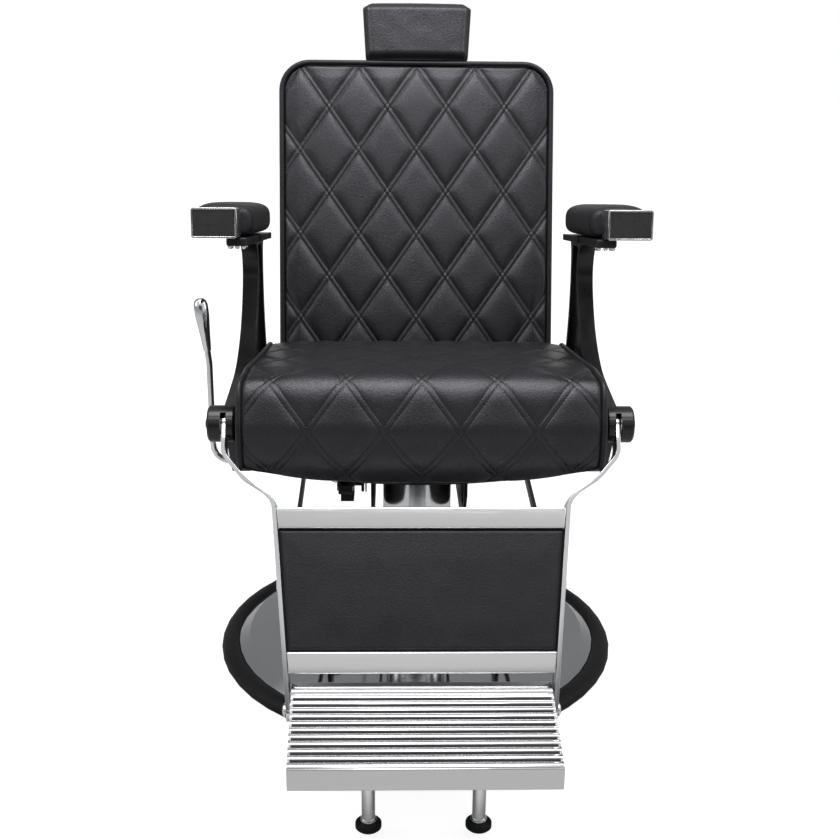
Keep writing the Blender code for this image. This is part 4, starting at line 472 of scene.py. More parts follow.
def back_matrix():
    return Matrix.Translation((0, *BACK_PIVOT)) @ Matrix.Rotation(-BACK_LEAN, 4, 'X')


def leg_matrix():
    return Matrix.Translation((0, *KNUCKLE)) @ Matrix.Rotation(-LEG_ANGLE, 4, 'X')


def armrest_matrix():
    return Matrix.Translation((0, *ARMREST_FRONT)) @ Matrix.Rotation(-ARMREST_SLOPE, 4, 'X')


def bar_x(down):
    """Centre of a leg bar's thickness, at a length down the leg rest."""
    share = (down - BAR_WAIST) / (LEG_LENGTH - BAR_WAIST)
    return BAR_WAIST_X + (BAR_END_X - BAR_WAIST_X) * share


# ---- quilting
def seam_distances(across, along, diamond):
    """Distances to the nearest seam of each direction; both are 0 at a crossing."""
    width, length = diamond
    slope = math.hypot(1 / width, 1 / length)
    u = across / width + along / length
    v = across / width - along / length
    return abs(u - round(u)) / slope, abs(v - round(v)) / slope


def quilt_height(across, along, diamond):
    """Height of the leather over its seams' level."""
    width, length = diamond
    gap = SEAM_CELLS / CELLS / math.hypot(1 / width, 1 / length)
    distances = seam_distances(across, along, diamond)
    puffed, band, groove = PUFF, 0.0, 0.0
    for d in distances:
        puffed *= 1 - math.exp(-max(d - gap, 0) / PUFF_REACH)
        band = max(band, 1 - (d / gap) ** 4)
        groove = max(groove, math.exp(-((d - gap) / GROOVE_WIDTH) ** 2))
    wobble = noise.noise(Vector((across * 26, along * 26, width * 40))) * WRINKLE
    return puffed + BAND_RISE * max(band, 0) - GROOVE_DEPTH * groove + wobble


def diagonal(across, along, diamond):
    """Whether the nearer seam is one of those that fall as x grows."""
    du, dv = seam_distances(across, along, diamond)
    return du < dv


def stitches(name, surface, outward, diamond, bounds, inside, body):
    """Thread in short raised dashes along both lines of every seam.

    surface(x, s) gives a point of the leather, outward(point) a direction on its outer side, and
    inside(x, s) says whether the leather is quilted there.
    """
    width, length = diamond
    gap = SEAM_CELLS / CELLS
    (low_x, high_x), (low_s, high_s) = bounds
    stretch = math.hypot(1, length / width)
    step = STITCH_PITCH / stretch
    points, faces = [], []
    for direction in (1, -1):
        ends = [x / width + direction * s / length for x in (low_x, high_x) for s in (low_s, high_s)]
        for n in range(math.floor(min(ends)), math.ceil(max(ends)) + 1):
            for side in (-1, 1):
                x = low_x
                while x < high_x:
                    spots = []
                    for xx in (x, x + step * STITCH_SHARE):
                        s = (n + side * gap - xx / width) * length * direction
                        spots.append((xx, s))
                    x += step
                    if not all(inside(xx, s) for xx, s in spots):
                        continue
                    start, end = (surface(*spot) for spot in spots)
                    other = surface(spots[0][0] + 0.001, spots[0][1] + 0.001 * direction)
                    along = (end - start).normalized()
                    normal = along.cross(other - start).normalized()
                    if normal.dot(outward(start)) < 0:
                        normal = -normal
                    across = along.cross(normal)
                    middle = (start + end) / 2 + normal * STITCH_RADIUS * 0.5
                    base = len(points)
                    points += [start, end, middle + normal * STITCH_RADIUS, middle + across * STITCH_RADIUS,
                               middle - normal * STITCH_RADIUS, middle - across * STITCH_RADIUS]
                    for k in range(4):
                        a, b = base + 2 + k, base + 2 + (k + 1) % 4
                        faces += [(base, a, b), (base + 1, b, a)]
    piece(name, points, faces, THREAD, body)


# ---- seat
class Path:
    """A side profile that gives its point and outward normal at a length along it."""

    def __init__(self, points):
        self.points = [Vector(p) for p in points]
        self.lengths = [0.0]
        for a, b in zip(self.points, self.points[1:]):
            self.lengths.append(self.lengths[-1] + (b - a).length)
        self.total = self.lengths[-1]
        self.normals = []
        last = len(self.points) - 1
        for k in range(last + 1):
            along = (self.points[min(k + 1, last)] - self.points[max(k - 1, 0)]).normalized()
            self.normals.append(Vector((along.y, -along.x)))

    def at(self, s):
        k = min(max(bisect_right(self.lengths, s) - 1, 0), len(self.points) - 2)
        share = (s - self.lengths[k]) / (self.lengths[k + 1] - self.lengths[k])
        share = min(max(share, 0.0), 1.0)
        place = self.points[k].lerp(self.points[k + 1], share)
        return place, self.normals[k].lerp(self.normals[k + 1], share).normalized()


def rounded_path(points, radius, steps):
    """A polyline whose corners are rounded by parabolas, cut back where its legs are short."""
    path = [Vector(points[0])]
    for before, corner, after in zip(points, points[1:], points[2:]):
        corner = Vector(corner)
        leg_in = Vector(before) - corner
        leg_out = Vector(after) - corner
        turn = math.pi - leg_in.angle(leg_out)
        cut = min(radius * math.tan(turn / 2), 0.45 * leg_in.length, 0.45 * leg_out.length)
        start = corner + leg_in.normalized() * cut
        end = corner + leg_out.normalized() * cut
        for k in range(steps + 1):
            t = k / steps
            path.append(start * (1 - t) ** 2 + corner * 2 * t * (1 - t) + end * t ** 2)
    path.append(Vector(points[-1]))
    return path


SEAT_PATH = Path(rounded_path([(SEAT_REAR, 0.4500), (SEAT_REAR, 0.5080), (-0.200, 0.5555), (-0.270, 0.5560),
                               (-0.292, 0.4900), (-0.290, 0.4400), (-0.262, SEAT_HEM)], 0.060, 16))
SEAT_HEART = Vector((0, -0.10, 0.46))
SEAT_PIPING_X = SEAT_HALF_WIDTH - 0.0040


def seat_crossing_length():
    """Length along the seat's profile at which its front comes down to the seams' crossings."""
    for k, (a, b) in enumerate(zip(SEAT_PATH.points, SEAT_PATH.points[1:])):
        if b.x < -0.27 and b.y < SEAT_CROSSING:
            return SEAT_PATH.lengths[k] + (b - a).length * (a.y - SEAT_CROSSING) / (a.y - b.y)
    raise ValueError("the seat's front never comes down to its crossings")


SEAT_START = seat_crossing_length()


def seat_hem(x):
    """Height of the front hem, which rises towards the seat's sides."""
    share = x / SEAT_HALF_WIDTH
    return SEAT_HEM + (SEAT_BOTTOM + SEAT_SIDE_RISE - SEAT_HEM) * share ** 2


def seat_point(x, s, drawn=0.0, quilted=True):
    """A point of the seat's leather, x across and s along its profile from the back."""
    place, normal = SEAT_PATH.at(s)
    share = x / SEAT_HALF_WIDTH
    ends = smooth(s / 0.020) * smooth((SEAT_PATH.total - s) / 0.016)
    lift = SEAT_CROWN * (1 - share ** 4)
    if quilted:
        edge = SEAT_PIPING_X - abs(x)
        near = smooth(edge / 0.014)
        depth = quilt_height(x + SEAT_DIAMOND[0] / 2, s - SEAT_START, SEAT_DIAMOND) * SEAT_SHALLOWNESS
        lift += (depth - SEAT_LEVEL) * near
        lift -= SEAT_TUCK * (1 - smooth(edge / 0.010))
    lift = lift * ends - drawn
    point = place + normal * lift
    forward = smooth((-0.240 - point.x) / 0.025)
    wide = x * (1 + forward * SEAT_FRONT_BULGE / SEAT_HALF_WIDTH)
    floor = seat_hem(x) + 0.05 * max(SEAT_PATH.total - s, 0)
    low = point.y - floor
    height = floor + (low + math.sqrt(low * low + 0.00002)) / 2 if low < 0.02 else point.y
    return Vector((wide, point.x, height))


def build_seat():
    """The quilted seat as lofted side profiles, its stitches and the piping at its two edges."""
    cell_x = SEAT_DIAMOND[0] / CELLS
    cell_s = SEAT_DIAMOND[1] / CELLS
    reach = int(SEAT_HALF_WIDTH / cell_x) + 1
    columns = [(i + 0.5) * cell_x for i in range(-reach, reach)]
    columns = [x for x in columns if abs(x) < SEAT_PIPING_X - 0.0005]
    first = -int(SEAT_START / cell_s)
    last = int((SEAT_PATH.total - SEAT_START) / cell_s)
    steps = [SEAT_START + k * cell_s for k in range(first, last + 1)]
    edge = [(SEAT_PIPING_X, 0.0040), (SEAT_HALF_WIDTH - 0.0006, 0.0080), (SEAT_HALF_WIDTH - 0.0030, 0.0130)]
    stations = [(-x, drawn) for x, drawn in reversed(edge)] + [(x, 0.0) for x in columns] + edge
    rings = []
    for x, drawn in stations:
        raised = SEAT_SIDE_ROUND if drawn > 0.010 else 0.0
        overhangs = abs(x) > BOARD_HALF_WIDTH + 0.002
        under = SEAT_BOTTOM + (SEAT_SIDE_RISE + SEAT_LIP if overhangs else 0.0) + raised
        ring = [seat_point(x, s, drawn, drawn == 0.0) for s in steps]
        if drawn > 0.010:
            ring = [Vector((x, p.y, p.z)) for p in ring]
        hem = seat_hem(x) + raised
        ring.append(Vector((x, -0.262, hem)))
        lip = min(under - SEAT_LIP, hem)
        front = BOARD_FRONT - CLEARANCE
        ring += [Vector((x, front - 0.020, lip)), Vector((x, front, lip)), Vector((x, front, under)),
                 Vector((x, SEAT_REAR - 0.003, under))]
        rings.append(ring)

    def split(i, j):
        if not 3 <= i < len(rings) - 4 or j >= len(steps) - 1:
            return 0
        x = (stations[i][0] + stations[i + 1][0]) / 2
        s = (steps[j] + steps[j + 1]) / 2
        return 2 if diagonal(x + SEAT_DIAMOND[0] / 2, s - SEAT_START, SEAT_DIAMOND) else 1

    cushion = loft("seat_cushion_leather", rings, LEATHER, "swivel", split)
    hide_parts("seat_cushion")

    def surface(across, along):
        return seat_point(across - SEAT_DIAMOND[0] / 2, along + SEAT_START)

    def inside(across, along):
        x, s = across - SEAT_DIAMOND[0] / 2, along + SEAT_START
        return abs(x) < SEAT_PIPING_X - 0.006 and 0.03 < s < SEAT_PATH.total - 0.022

    half = SEAT_DIAMOND[0] / 2
    stitches("seat_stitches", surface, lambda point: point - SEAT_HEART, SEAT_DIAMOND,
             ((half - SEAT_HALF_WIDTH, half + SEAT_HALF_WIDTH), (-SEAT_START, SEAT_PATH.total - SEAT_START)),
             inside, "swivel")
    count = 150
    for side, tag in SIDES:
        lengths = [0.004 + (SEAT_PATH.total - 0.012 - 0.004) * k / count for k in range(count + 1)]
        tube("seat_piping_" + tag, [seat_point(side * SEAT_PIPING_X, s, 0.0015, False) for s in lengths],
             PIPING_RADIUS, PIPING, "swivel")


# ---- backrest
def back_half_width(height):
    """Half of the backrest's width at a height, with its rounded corners."""
    top_gap = height - (BACK_TOP - BACK_CORNER)
    low_gap = (BACK_BOTTOM + BACK_LOW_CORNER) - height
    for gap, corner in ((top_gap, BACK_CORNER), (low_gap, BACK_LOW_CORNER)):
        if gap > 0:
            gap = min(gap, corner * 0.9999)
            return BACK_HALF_WIDTH - corner + math.sqrt(corner ** 2 - gap ** 2)
    return BACK_HALF_WIDTH


def back_edge_distance(x, height):
    """How far inside the backrest's rounded outline a place lies."""
    corner = BACK_CORNER if height > (BACK_TOP + BACK_BOTTOM) / 2 else BACK_LOW_CORNER
    middle = (BACK_TOP + BACK_BOTTOM) / 2
    dx = abs(x) - (BACK_HALF_WIDTH - corner)
    dz = abs(height - middle) - ((BACK_TOP - BACK_BOTTOM) / 2 - corner)
    outside = math.hypot(max(dx, 0), max(dz, 0))
    return corner - (outside + min(max(dx, dz), 0))


def back_depth(x, height):
    """Depth of the backrest's face behind the recline plane, at a place on it."""
    share = x / BACK_HALF_WIDTH
    middle = (height - BACK_BOTTOM) / (BACK_TOP - BACK_BOTTOM) * 2 - 1
    edge = back_edge_distance(x, height) - BACK_EDGE
    lift = BACK_CROWN * (1 - share ** 4) * (1 - middle ** 6) * smooth(edge / 0.030)
    lift += (quilt_height(x, height - BACK_CROSSING, BACK_DIAMOND) - BACK_LEVEL) * smooth(edge / 0.012)
    lift -= BACK_TUCK * (1 - smooth(edge / 0.009))
    return BACK_FACE - lift


def build_back():
    """The quilted back as lofted level sections, its stitches and the piping round it."""
    cell_x = BACK_DIAMOND[0] / CELLS
    cell_z = BACK_DIAMOND[1] / CELLS
    columns = list(range(-int(BACK_HALF_WIDTH / cell_x) + 2, int(BACK_HALF_WIDTH / cell_x) - 1))
    keep = 0.186                  # further out the columns spread to meet the outline
    widest = columns[-1] * cell_x
    first = math.ceil((BACK_BOTTOM + BACK_LOW_CORNER * 0.9 - BACK_CROSSING) / cell_z)
    last = math.floor((BACK_TOP - BACK_CORNER * 0.62 - BACK_CROSSING) / cell_z)
    heights = [BACK_CROSSING + k * cell_z for k in range(first, last + 1)]
    low = [BACK_BOTTOM + BACK_LOW_CORNER * (1 - math.cos(math.radians(a))) for a in range(0, 82, 9)]
    high = [BACK_TOP - BACK_CORNER * (1 - math.sin(math.radians(a))) for a in range(22, 90, 3)]
    heights = ([h for h in low if h < heights[0] - 0.001] + heights
               + [h for h in high if h > heights[-1] + 0.0008] + [BACK_TOP])
    matrix = back_matrix()
    rings = []
    for height in heights:
        wide = back_half_width(height) - 0.0012
        end = smooth((BACK_TOP - height) / 0.010)
        ring = [(-wide + 0.0035, BACK_REAR), (-wide + 0.0045, (BACK_FACE + BACK_REAR) / 2 + 0.01),
                (-wide + 0.0030, BACK_FACE + 0.014)]
        inner = wide - 0.0035
        for column in columns:
            x = column * cell_x
            if abs(x) > keep:
                x = math.copysign(keep + (abs(x) - keep) * (inner - keep) / (widest - keep), x)
            ring.append((x, back_depth(x, height) + 0.010 * (1 - end)))
        ring += [(wide - 0.0030, BACK_FACE + 0.014), (wide - 0.0045, (BACK_FACE + BACK_REAR) / 2 + 0.01),
                 (wide - 0.0035, BACK_REAR)]
        rings.append([matrix @ Vector((x, y, height)) for x, y in ring])

    def split(i, j):
        column = j - 3
        if not 0 <= column < len(columns) - 1:
            return 0
        x = (columns[column] + 0.5) * cell_x
        z = (heights[i] + heights[i + 1]) / 2
        return 1 if diagonal(x, z - BACK_CROSSING, BACK_DIAMOND) else 2

    cushion = loft("back_cushion_leather", rings, LEATHER, "backrest", split)
    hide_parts("back_cushion")

    def surface(x, along):
        height = along + BACK_CROSSING
        return matrix @ Vector((x, back_depth(x, height), height))

    def inside(x, along):
        return back_edge_distance(x, along + BACK_CROSSING) > 0.0115

    stitches("back_stitches", surface, lambda _: Vector((0, -1, 0.3)), BACK_DIAMOND,
             ((-BACK_HALF_WIDTH, BACK_HALF_WIDTH), (BACK_BOTTOM - BACK_CROSSING, BACK_TOP - BACK_CROSSING)),
             inside, "backrest")
    path = []
    for cx, cz, corner, start in ((1, 1, BACK_CORNER, 90), (1, -1, BACK_LOW_CORNER, 0),
                                  (-1, -1, BACK_LOW_CORNER, -90), (-1, 1, BACK_CORNER, -180)):
        middle_x = cx * (BACK_HALF_WIDTH - corner)
        middle_z = BACK_TOP - corner if cz > 0 else BACK_BOTTOM + corner
        reach = corner - BACK_PIPING_INSET
        for k in range(13):
            angle = math.radians(start - 90 * k / 12)
            path.append(matrix @ Vector((middle_x + reach * math.cos(angle), BACK_FACE + 0.0005,
                                         middle_z + reach * math.sin(angle))))
    tube("back_piping", path, BACK_PIPING_RADIUS, PIPING, "backrest", closed=True)


# ---- headrest and arm pads
def build_headrest():
    """A tapered pad with a rolled edge and a raised seam round its face."""
    matrix = back_matrix()
    rings = []
    rows, columns = 44, 60
    seam = 0.0115
    middle = (HEAD_FRONT + HEAD_REAR) / 2
    for k in range(rows + 1):
        share = (1 - math.cos(math.pi * k / rows)) / 2
        height = HEAD_BOTTOM + (HEAD_TOP - HEAD_BOTTOM) * share
        wide = HEAD_BOTTOM_HALF_WIDTH + (HEAD_TOP_HALF_WIDTH - HEAD_BOTTOM_HALF_WIDTH) * share
        top_gap = min(max(height - (HEAD_TOP - 0.011), 0) / 0.011, 0.999)
        low_gap = min(max((HEAD_BOTTOM + 0.006) - height, 0) / 0.006, 0.999)
        wide -= 0.011 * (1 - math.sqrt(1 - top_gap ** 2)) + 0.004 * (1 - math.sqrt(1 - low_gap ** 2))
        edge = min(height - HEAD_BOTTOM, HEAD_TOP - height)
        roll = 0.0120 * (1 - smooth(edge / 0.016)) ** 2
        ring = []
        for n in range(columns + 1):
            across = -math.cos(math.pi * n / columns)
            x = across * wide
            inside = wide - abs(x)
            y = HEAD_FRONT + 0.0042 * (across ** 2) + roll
            y += 0.0130 * (1 - smooth(inside / 0.012)) ** 2
            y += 0.0016 * math.exp(-((inside - seam) / 0.0011) ** 2)
            y -= 0.0010 * math.exp(-((inside - seam + 0.0035) / 0.0018) ** 2)
            y += noise.noise(Vector((x * 40, height * 40, 3.1))) * 0.0005
            ring.append((x, y))
        rear = HEAD_REAR - 0.010 * (1 - smooth(edge / 0.008))
        flank = [(wide - 0.0005, middle), (wide - 0.002, rear - 0.004), (wide - 0.007, rear)]
        ring += flank + [(-x, y) for x, y in reversed(flank)]
        rings.append([matrix @ Vector((x, y, height)) for x, y in ring])
    pad = loft("headrest_pad_leather", rings, LEATHER, "headrest")
    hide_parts("headrest_pad")


def build_arm_pad(side, tag):
    """A pad that plugs into its cap, swells behind it and ends round."""
    matrix = armrest_matrix()
    low = CAP_WALL + CLEARANCE
    high = CAP_HEIGHT - CAP_WALL - CLEARANCE
    plug = CAP_WIDTH / 2 - CAP_WALL - CLEARANCE
    step = CAP_DEPTH + CLEARANCE
    boxy, rounded = 9.0, 3.4      # powers of the sections' super-ellipses
    sections = [(y, CAP_CENTRE_X, plug, low, high, boxy) for y in (0.0063, step)]
    count = 46
    for k in range(count + 1):
        along = k / count
        y = step + 0.0002 + (ARMREST_LENGTH - step - 0.0002) * (1 - (1 - along) ** 1.5)
        back = ARMREST_LENGTH - y
        front = y - step
        end = math.sqrt(max(1 - max(1 - back / 0.045, 0) ** 2, 0.02))
        start = 0.86 + 0.14 * math.sqrt(max(1 - max(1 - front / 0.016, 0) ** 2, 0))
        half = (PAD_HALF_WIDTH + PAD_SWELL) * min(end, 1) * start
        top = 0.0475 + PAD_SWELL * smooth(front / 0.05) - 0.0060 * (1 - start) / 0.14 - 0.0155 * (1 - end)
        bottom = 0.0030 * (1 - start) / 0.14 + 0.012 * (1 - end)
        sections.append((y, PAD_CENTRE_X, half, bottom, top, rounded))
    rings = []
    for y, middle, half, bottom, top, power in sections:
        ring = []
        for n in range(48):
            turn = 2 * math.pi * n / 48
            c, s = math.cos(turn), math.sin(turn)
            x = half * math.copysign(abs(c) ** (2 / power), c)
            z = (top - bottom) / 2 * math.copysign(abs(s) ** (2 / power), s)
            puffed = 0.0
            if s > 0 and power == rounded:
                wave = noise.noise(Vector((x * 30, y * 30, side * 2.0))) * 0.0004
                puffed = 0.0015 * (1 - (x / half) ** 2) - 0.0015 + wave
            ring.append(matrix @ Vector((side * middle + x, y, (top + bottom) / 2 + z + puffed)))
        rings.append(ring)
    pad = loft("armrest_pad_leather_" + tag, rings, SMOOTH_LEATHER, "swivel")
    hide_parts("armrest_pad_" + tag)


def build_leg_panel():
    """Upholstered board between the leg bars, softly crowned, with rounded edges."""
    matrix = leg_matrix()
    gap = BAR_THICKNESS / 2 + 0.0006
    rows, columns = 60, 80
    rings = []
    for k in range(rows + 1):
        down = LEG_PANEL[0] + (LEG_PANEL[1] - LEG_PANEL[0]) * (1 - math.cos(math.pi * k / rows)) / 2
        wide = bar_x(down) - gap
        ends = min(down - LEG_PANEL[0], LEG_PANEL[1] - down)
        front = []
        for n in range(columns + 1):
            x = -math.cos(math.pi * n / columns) * wide
            edge = min(ends, wide - abs(x))
            y = -PANEL_FRONT + 0.0012 - 0.0012 * smooth(edge / 0.05)
            y += 0.0050 * (1 - smooth(edge / 0.0065)) ** 2
            y += noise.noise(Vector((x * 14, down * 14, 7.7))) * 0.0005
            front.append((x, y))
        ring = front + [(wide, 0.002), (wide - 0.002, 0.0060), (-wide + 0.002, 0.0060), (-wide, 0.002)]
        rings.append([matrix @ Vector((x, y, -down)) for x, y in ring])
    panel = loft("legrest_panel_leather", rings, SMOOTH_LEATHER, "legrest")
    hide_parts("legrest_panel")


# ---- footplate
def rib_point(start, share):
    """Where the tread's surface is at a share of the way over the rib that follows a groove's centre."""
    length = RIB_PITCH - 2 * GROOVE_HALF
    bulge = math.sqrt(1 - (2 * share - 1) ** 2)
    return start - GROOVE_HALF - length * share, PLATE_TOP - RIB_HEIGHT + (RIB_HEIGHT - 0.0002) * bulge


def plate_half_width(y):
    share = (y - PLATE_BACK) / (PLATE_FRONT - PLATE_BACK)
    return PLATE_BACK_HALF_WIDTH + (PLATE_FRONT_HALF_WIDTH - PLATE_BACK_HALF_WIDTH) * share


def build_footplate():
    """Tread with round ribs, a front lip and the ears that hang it on the bars."""
    crown = []
    top = PLATE_TOP
    low = PLATE_TOP - RIB_HEIGHT
    under = top - PLATE_THICKNESS
    for k in range(7):
        angle = math.radians(90 * k / 6)
        crown.append((PLATE_BACK - 0.004 * (1 - math.cos(angle)), top - 0.004 + 0.004 * math.sin(angle)))
    grooves = [FIRST_GROOVE - k * RIB_PITCH for k in range(RIB_COUNT)]
    crown += [(FIRST_GROOVE + 0.0040, top - 0.0002), (FIRST_GROOVE + 0.0026, top - 0.0010),
              (FIRST_GROOVE + 0.0006, low + 0.0012), (FIRST_GROOVE + 0.0002, low)]
    for start in grooves:
        crown += [rib_point(start, k / 16) for k in range(17)]
    last = FIRST_GROOVE - RIB_COUNT * RIB_PITCH
    crown += [(last - 0.0006, low), (last - 0.0009, low + 0.0016), (last - 0.0014, top - 0.0008)]
    for k in range(7):
        angle = math.radians(90 * k / 6)
        crown.append((PLATE_FRONT + 0.002 * (1 - math.sin(angle)), top - 0.002 + 0.002 * math.cos(angle)))
    foot = top - PLATE_LIP_HEIGHT
    crown += [(PLATE_FRONT, foot + 0.001), (PLATE_FRONT + 0.001, foot), (PLATE_FRONT + 0.0050, foot),
              (PLATE_FRONT + 0.0060, foot + 0.001), (PLATE_FRONT + 0.0060, under - 0.006),
              (PLATE_FRONT + 0.0090, under - 0.002), (PLATE_FRONT + 0.0160, under), (PLATE_BACK, under)]
    middle = sum(z for _, z in crown) / len(crown)
    rings = []
    for side, inset, squeeze in ((-1, 0.0, 0.0006), (-1, 0.0006, 0.0), (1, 0.0006, 0.0), (1, 0.0, 0.0006)):
        ring = []
        for y, z in crown:
            drawn = math.copysign(min(squeeze, abs(z - middle)), z - middle)
            ring.append(Vector((side * (plate_half_width(y) - inset), y, z - drawn)))
        rings.append(ring)
    plate = loft("footplate_tread", rings, FINISHES["tread"], "footplate")
    resharpen(plate, 38)
    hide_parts("footplate")
    build_groove_shade_sheets(grooves[1:])
    pivot = leg_matrix() @ Vector((0, 0, -LEG_LENGTH))
    outer = BAR_END_X - BAR_THICKNESS / 2 - 0.0012
    for side, tag in SIDES:
        build_ear("footplate_ear_" + tag, pivot.yz, Vector((PLATE_BACK - 0.0260, PLATE_TOP - 0.0150)),
                  side * (outer - 0.0065), side * outer)


def build_groove_shade_sheets(grooves):
    """A dark sheet over the floor of each groove and the foot of the ribs beside it: painted shade in the
    grooves.
    """
    points, faces = [], []
    shares = (0.0, 0.02, 0.05, 0.09, 0.13)
    for start in grooves:
        profile = [rib_point(start + RIB_PITCH, 1 - share) for share in reversed(shares)]
        profile += [rib_point(start, share) for share in shares]
        base = len(points)
        for side in (-1, 1):
            for y, z in profile:
                drawn = y + math.copysign(min(GROOVE_SKIN, abs(start - y)), start - y)
                points.append((side * (plate_half_width(y) - 0.0035), drawn, z + GROOVE_SKIN))
        count = len(profile)
        faces += [(base + k, base + count + k, base + count + k + 1, base + k + 1) for k in range(count - 1)]
    piece("footplate_groove_shade_sheets", points, faces, FINISHES["groove_painted_shade"], "footplate")


def build_ear(name, pivot, end, near, far):
    """A round-ended lug from its pin's hole to a second place, with eased edges."""
    span = end - pivot
    steps = 40

    def reach(direction):
        low, high = 0.0, span.length + EAR_RADIUS
        for _ in range(30):
            trial = (low + high) / 2
            place = direction * trial
            along = min(max(place.dot(span) / span.length_squared, 0), 1)
            low, high = (trial, high) if (place - span * along).length < EAR_RADIUS else (low, trial)
        return low

    turns = [2 * math.pi * n / steps for n in range(steps)]
    directions = [Vector((math.cos(turn), math.sin(turn))) for turn in turns]
    ease = math.copysign(EAR_EASE, far - near)
    points, faces = [], []
    for x, change in ((near, -EAR_EASE), (near + ease, 0), (far - ease, 0), (far, -EAR_EASE)):
        points += [(x, *(pivot + direction * (reach(direction) + change))) for direction in directions]
    for x in (far, near):
        points += [(x, *(pivot + direction * (PIN_RADIUS + CLEARANCE))) for direction in directions]
    for ring in range(6):
        for n in range(steps):
            m = (n + 1) % steps
            after = (ring + 1) % 6
            faces.append((ring * steps + n, ring * steps + m, after * steps + m, after * steps + n))
    ear = piece(name, points, faces, FINISHES["polished_aluminium"], "footplate")
    resharpen(ear, CREASE)


def build_trim_backings():
    """The board's black backing, which covers the trims from behind."""
    into_leg = leg_matrix().inverted()
    for node in ("legrest_top_trim", "legrest_bottom_trim"):
        local = [into_leg @ vert.co for vert in NODES[node].data.vertices]
        rear = max(p.y for p in local)
        low, high = min(p.z for p in local), max(p.z for p in local)
        near, far = rear + CLEARANCE, rear + 0.0013
        rings = []
        for z in (low + 0.0015, high - 0.0015):
            half = bar_x(-z) - BAR_THICKNESS / 2 - 0.0040
            corners = ((-half, near), (half, near), (half, far), (-half, far))
            rings.append([leg_matrix() @ Vector((x, y, z)) for x, y in corners])
        backing = loft(node + "_backing", rings, FINISHES["black_steel"], "legrest")
        resharpen(backing, CREASE)


# ---- fasteners
def pan_screw(name, centre, axis, radius, height, body):
    """A pan-head screw that stands on its seat along an axis."""
    turn = axis.normalized().to_track_quat('Z', 'Y').to_matrix().to_4x4()
    matrix = Matrix.Translation(centre) @ turn
    sides = 20
    profile = [(1.0, 0), (1.0, 0.25), (0.90, 0.62), (0.66, 0.90), (0.34, 1.0)]
    points, faces = [], []
    for r, z in profile:
        for n in range(sides):
            angle = 2 * math.pi * n / sides
            place = Vector((math.cos(angle) * r * radius, math.sin(angle) * r * radius, z * height))
            points.append(matrix @ place)
    for k in range(len(profile) - 1):
        for n in range(sides):
            m = (n + 1) % sides
            faces.append((k * sides + n, k * sides + m, (k + 1) * sides + m, (k + 1) * sides + n))
    faces.append(tuple(range(sides))[::-1])
    top = (len(profile) - 1) * sides
    faces.append(tuple(range(top, top + sides)))
    resharpen(piece(name, points, faces, FINISHES["chrome"], body), 30)


def build_fasteners():
    """Five screws under the front of each armrest."""
    armrest = armrest_matrix()
    down = armrest.to_3x3() @ Vector((0, 0, -1))
    places = ((0.2600, 0.0490), (0.2705, 0.0500), (0.2810, 0.0490), (0.2600, 0.0640), (0.2810, 0.0640))
    for side, tag in SIDES:
        for k, (x, y) in enumerate(places):
            pan_screw(f"armrest_screw_{tag}_{k + 1}", armrest @ Vector((side * x, y, BRACKET_BOTTOM)), down,
                      0.0036, 0.0046, "swivel")


# ---- pieces from the solids
build_seat()
build_back()
build_headrest()
for side, tag in SIDES:
    build_arm_pad(side, tag)
build_leg_panel()
build_footplate()
build_trim_backings()
build_fasteners()
for node in sorted(NODES):
    if node not in MADE_HERE:
        refined(node)


# ---- studio
FLOOR_SIZE = 9.0              # half its width
FLOOR_GREY = 0.46
FLOOR_LIFT = 0.84             # light it gives off to the camera alone
FOCAL_PIXELS = 1175.9
PICTURE_PIXELS = 840
CAMERA_PLACE = (-0.0439, -1.9113, 1.0148)
CAMERA_ANGLES = (17.498, 1.438, 0.554)      # pitch down, yaw to the right and roll, in degrees


def build_floor():
    """White to the camera, and a mid grey in reflections."""
    mesh = bpy.data.meshes.new("studio_floor")
    corners = [(x * FLOOR_SIZE, y * FLOOR_SIZE, 0) for x, y in ((-1, -1), (1, -1), (1, 1), (-1, 1))]
    mesh.from_pydata(corners, [], [(0, 1, 2, 3)])
    floor = bpy.data.objects.new("studio_floor", mesh)
    bpy.context.scene.collection.objects.link(floor)
    mat, tree, bsdf = new_material("pale floor")
    bsdf.inputs["Base Color"].default_value = (FLOOR_GREY, FLOOR_GREY, FLOOR_GREY, 1)
    bsdf.inputs["Roughness"].default_value = 0.9
    bsdf.inputs["Specular IOR Level"].default_value = 0.1
    light = tree.nodes.new("ShaderNodeLightPath")
    bsdf.inputs["Emission Color"].default_value = (1, 1, 1, 1)
    lift = joined(tree, 'MULTIPLY', light.outputs["Is Camera Ray"], FLOOR_LIFT)
    tree.links.new(lift, bsdf.inputs["Emission Strength"])
    mesh.materials.append(mat)


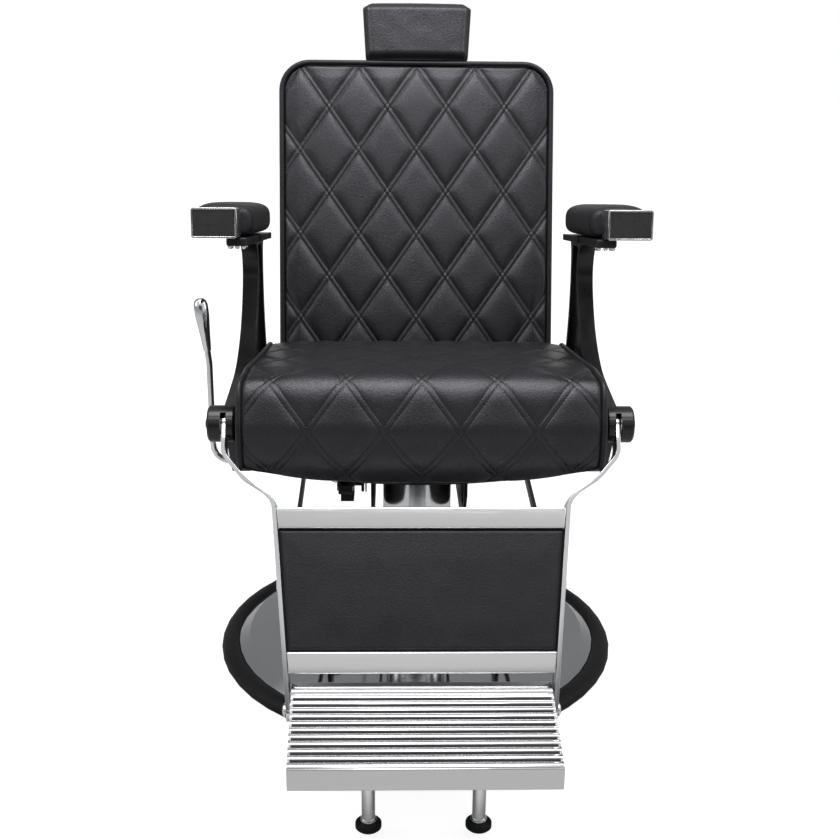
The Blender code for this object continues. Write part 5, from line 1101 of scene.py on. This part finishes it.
def build_world():
    """White to the camera; in reflections a grey room, dark low in front and light overhead."""
    world = bpy.data.worlds.new("studio")
    bpy.context.scene.world = world
    world.use_nodes = True
    tree = world.node_tree
    tree.nodes.clear()
    out = tree.nodes.new("ShaderNodeOutputWorld")
    coord = tree.nodes.new("ShaderNodeTexCoord")
    split = tree.nodes.new("ShaderNodeSeparateXYZ")
    tree.links.new(coord.outputs["Generated"], split.inputs[0])

    x, y, z = (split.outputs[axis] for axis in "XYZ")

    def eased(socket, start, end, low, high):
        return spread(tree, socket, start, end, low, high, 'SMOOTHSTEP')

    depth = eased(y, -0.60, 0.30, 0.66, 0.30)
    low = eased(y, -0.70, -0.10, 0.08, 0.50)
    ahead = eased(joined(tree, 'ABSOLUTE', x, 0.0), 0.34, 0.60, 1.0, 0.0)
    band = joined(tree, 'MULTIPLY', eased(z, 0.10, 0.40, 1.0, 0.0), ahead)
    overhead = eased(z, 0.66, 0.88, 0.0, 0.55)
    turned = tree.nodes.new("ShaderNodeMix")
    tree.links.new(band, turned.inputs["Factor"])
    tree.links.new(depth, turned.inputs["A"])
    tree.links.new(low, turned.inputs["B"])
    room, white = (tree.nodes.new("ShaderNodeBackground") for _ in range(2))
    for node in (room, white):
        node.inputs["Color"].default_value = (1.0, 1.0, 1.0, 1)
    tree.links.new(joined(tree, 'ADD', turned.outputs["Result"], overhead), room.inputs["Strength"])
    light = tree.nodes.new("ShaderNodeLightPath")
    mix = tree.nodes.new("ShaderNodeMixShader")
    tree.links.new(light.outputs["Is Camera Ray"], mix.inputs[0])
    tree.links.new(room.outputs[0], mix.inputs[1])
    tree.links.new(white.outputs[0], mix.inputs[2])
    tree.links.new(mix.outputs[0], out.inputs[0])


def area_lamp(name, place, target, size, power):
    data = bpy.data.lights.new(name, 'AREA')
    data.shape = 'RECTANGLE'
    data.size, data.size_y = size
    data.energy = power
    lamp = bpy.data.objects.new(name, data)
    bpy.context.scene.collection.objects.link(lamp)
    lamp.location = place
    lamp.rotation_euler = (Vector(target) - Vector(place)).to_track_quat('-Z', 'Y').to_euler()


def build_camera():
    """The photograph's camera, fitted to the chair's outline."""
    data = bpy.data.cameras.new("camera")
    data.sensor_width = 36.0
    data.lens = FOCAL_PIXELS / PICTURE_PIXELS * data.sensor_width
    camera = bpy.data.objects.new("camera", data)
    bpy.context.scene.collection.objects.link(camera)
    pitch, yaw, roll = (math.radians(angle) for angle in CAMERA_ANGLES)
    right = Vector((math.cos(yaw), -math.sin(yaw), 0))
    ahead = Vector((math.sin(yaw), math.cos(yaw), 0)) * math.cos(pitch) - Vector((0, 0, math.sin(pitch)))
    up = right.cross(ahead)
    turn = Matrix((right, up, -ahead)).transposed().to_4x4() @ Matrix.Rotation(roll, 4, 'Z')
    camera.matrix_world = Matrix.Translation(CAMERA_PLACE) @ turn
    bpy.context.scene.camera = camera


build_floor()
build_world()
build_camera()
area_lamp("top softbox", (0.0, -0.55, 2.7), (0, -0.1, 0.5), (2.0, 1.1), 46)
area_lamp("front softbox", (0.0, -1.38, 1.90), (0, -0.1, 0.95), (1.5, 0.40), 7.0)
area_lamp("left softbox", (-2.4, -0.4, 1.5), (0, 0, 0.6), (0.7, 1.8), 10)
area_lamp("right softbox", (2.4, -0.4, 1.5), (0, 0, 0.6), (0.7, 1.8), 10)
bpy.context.scene.view_settings.view_transform = "Standard"
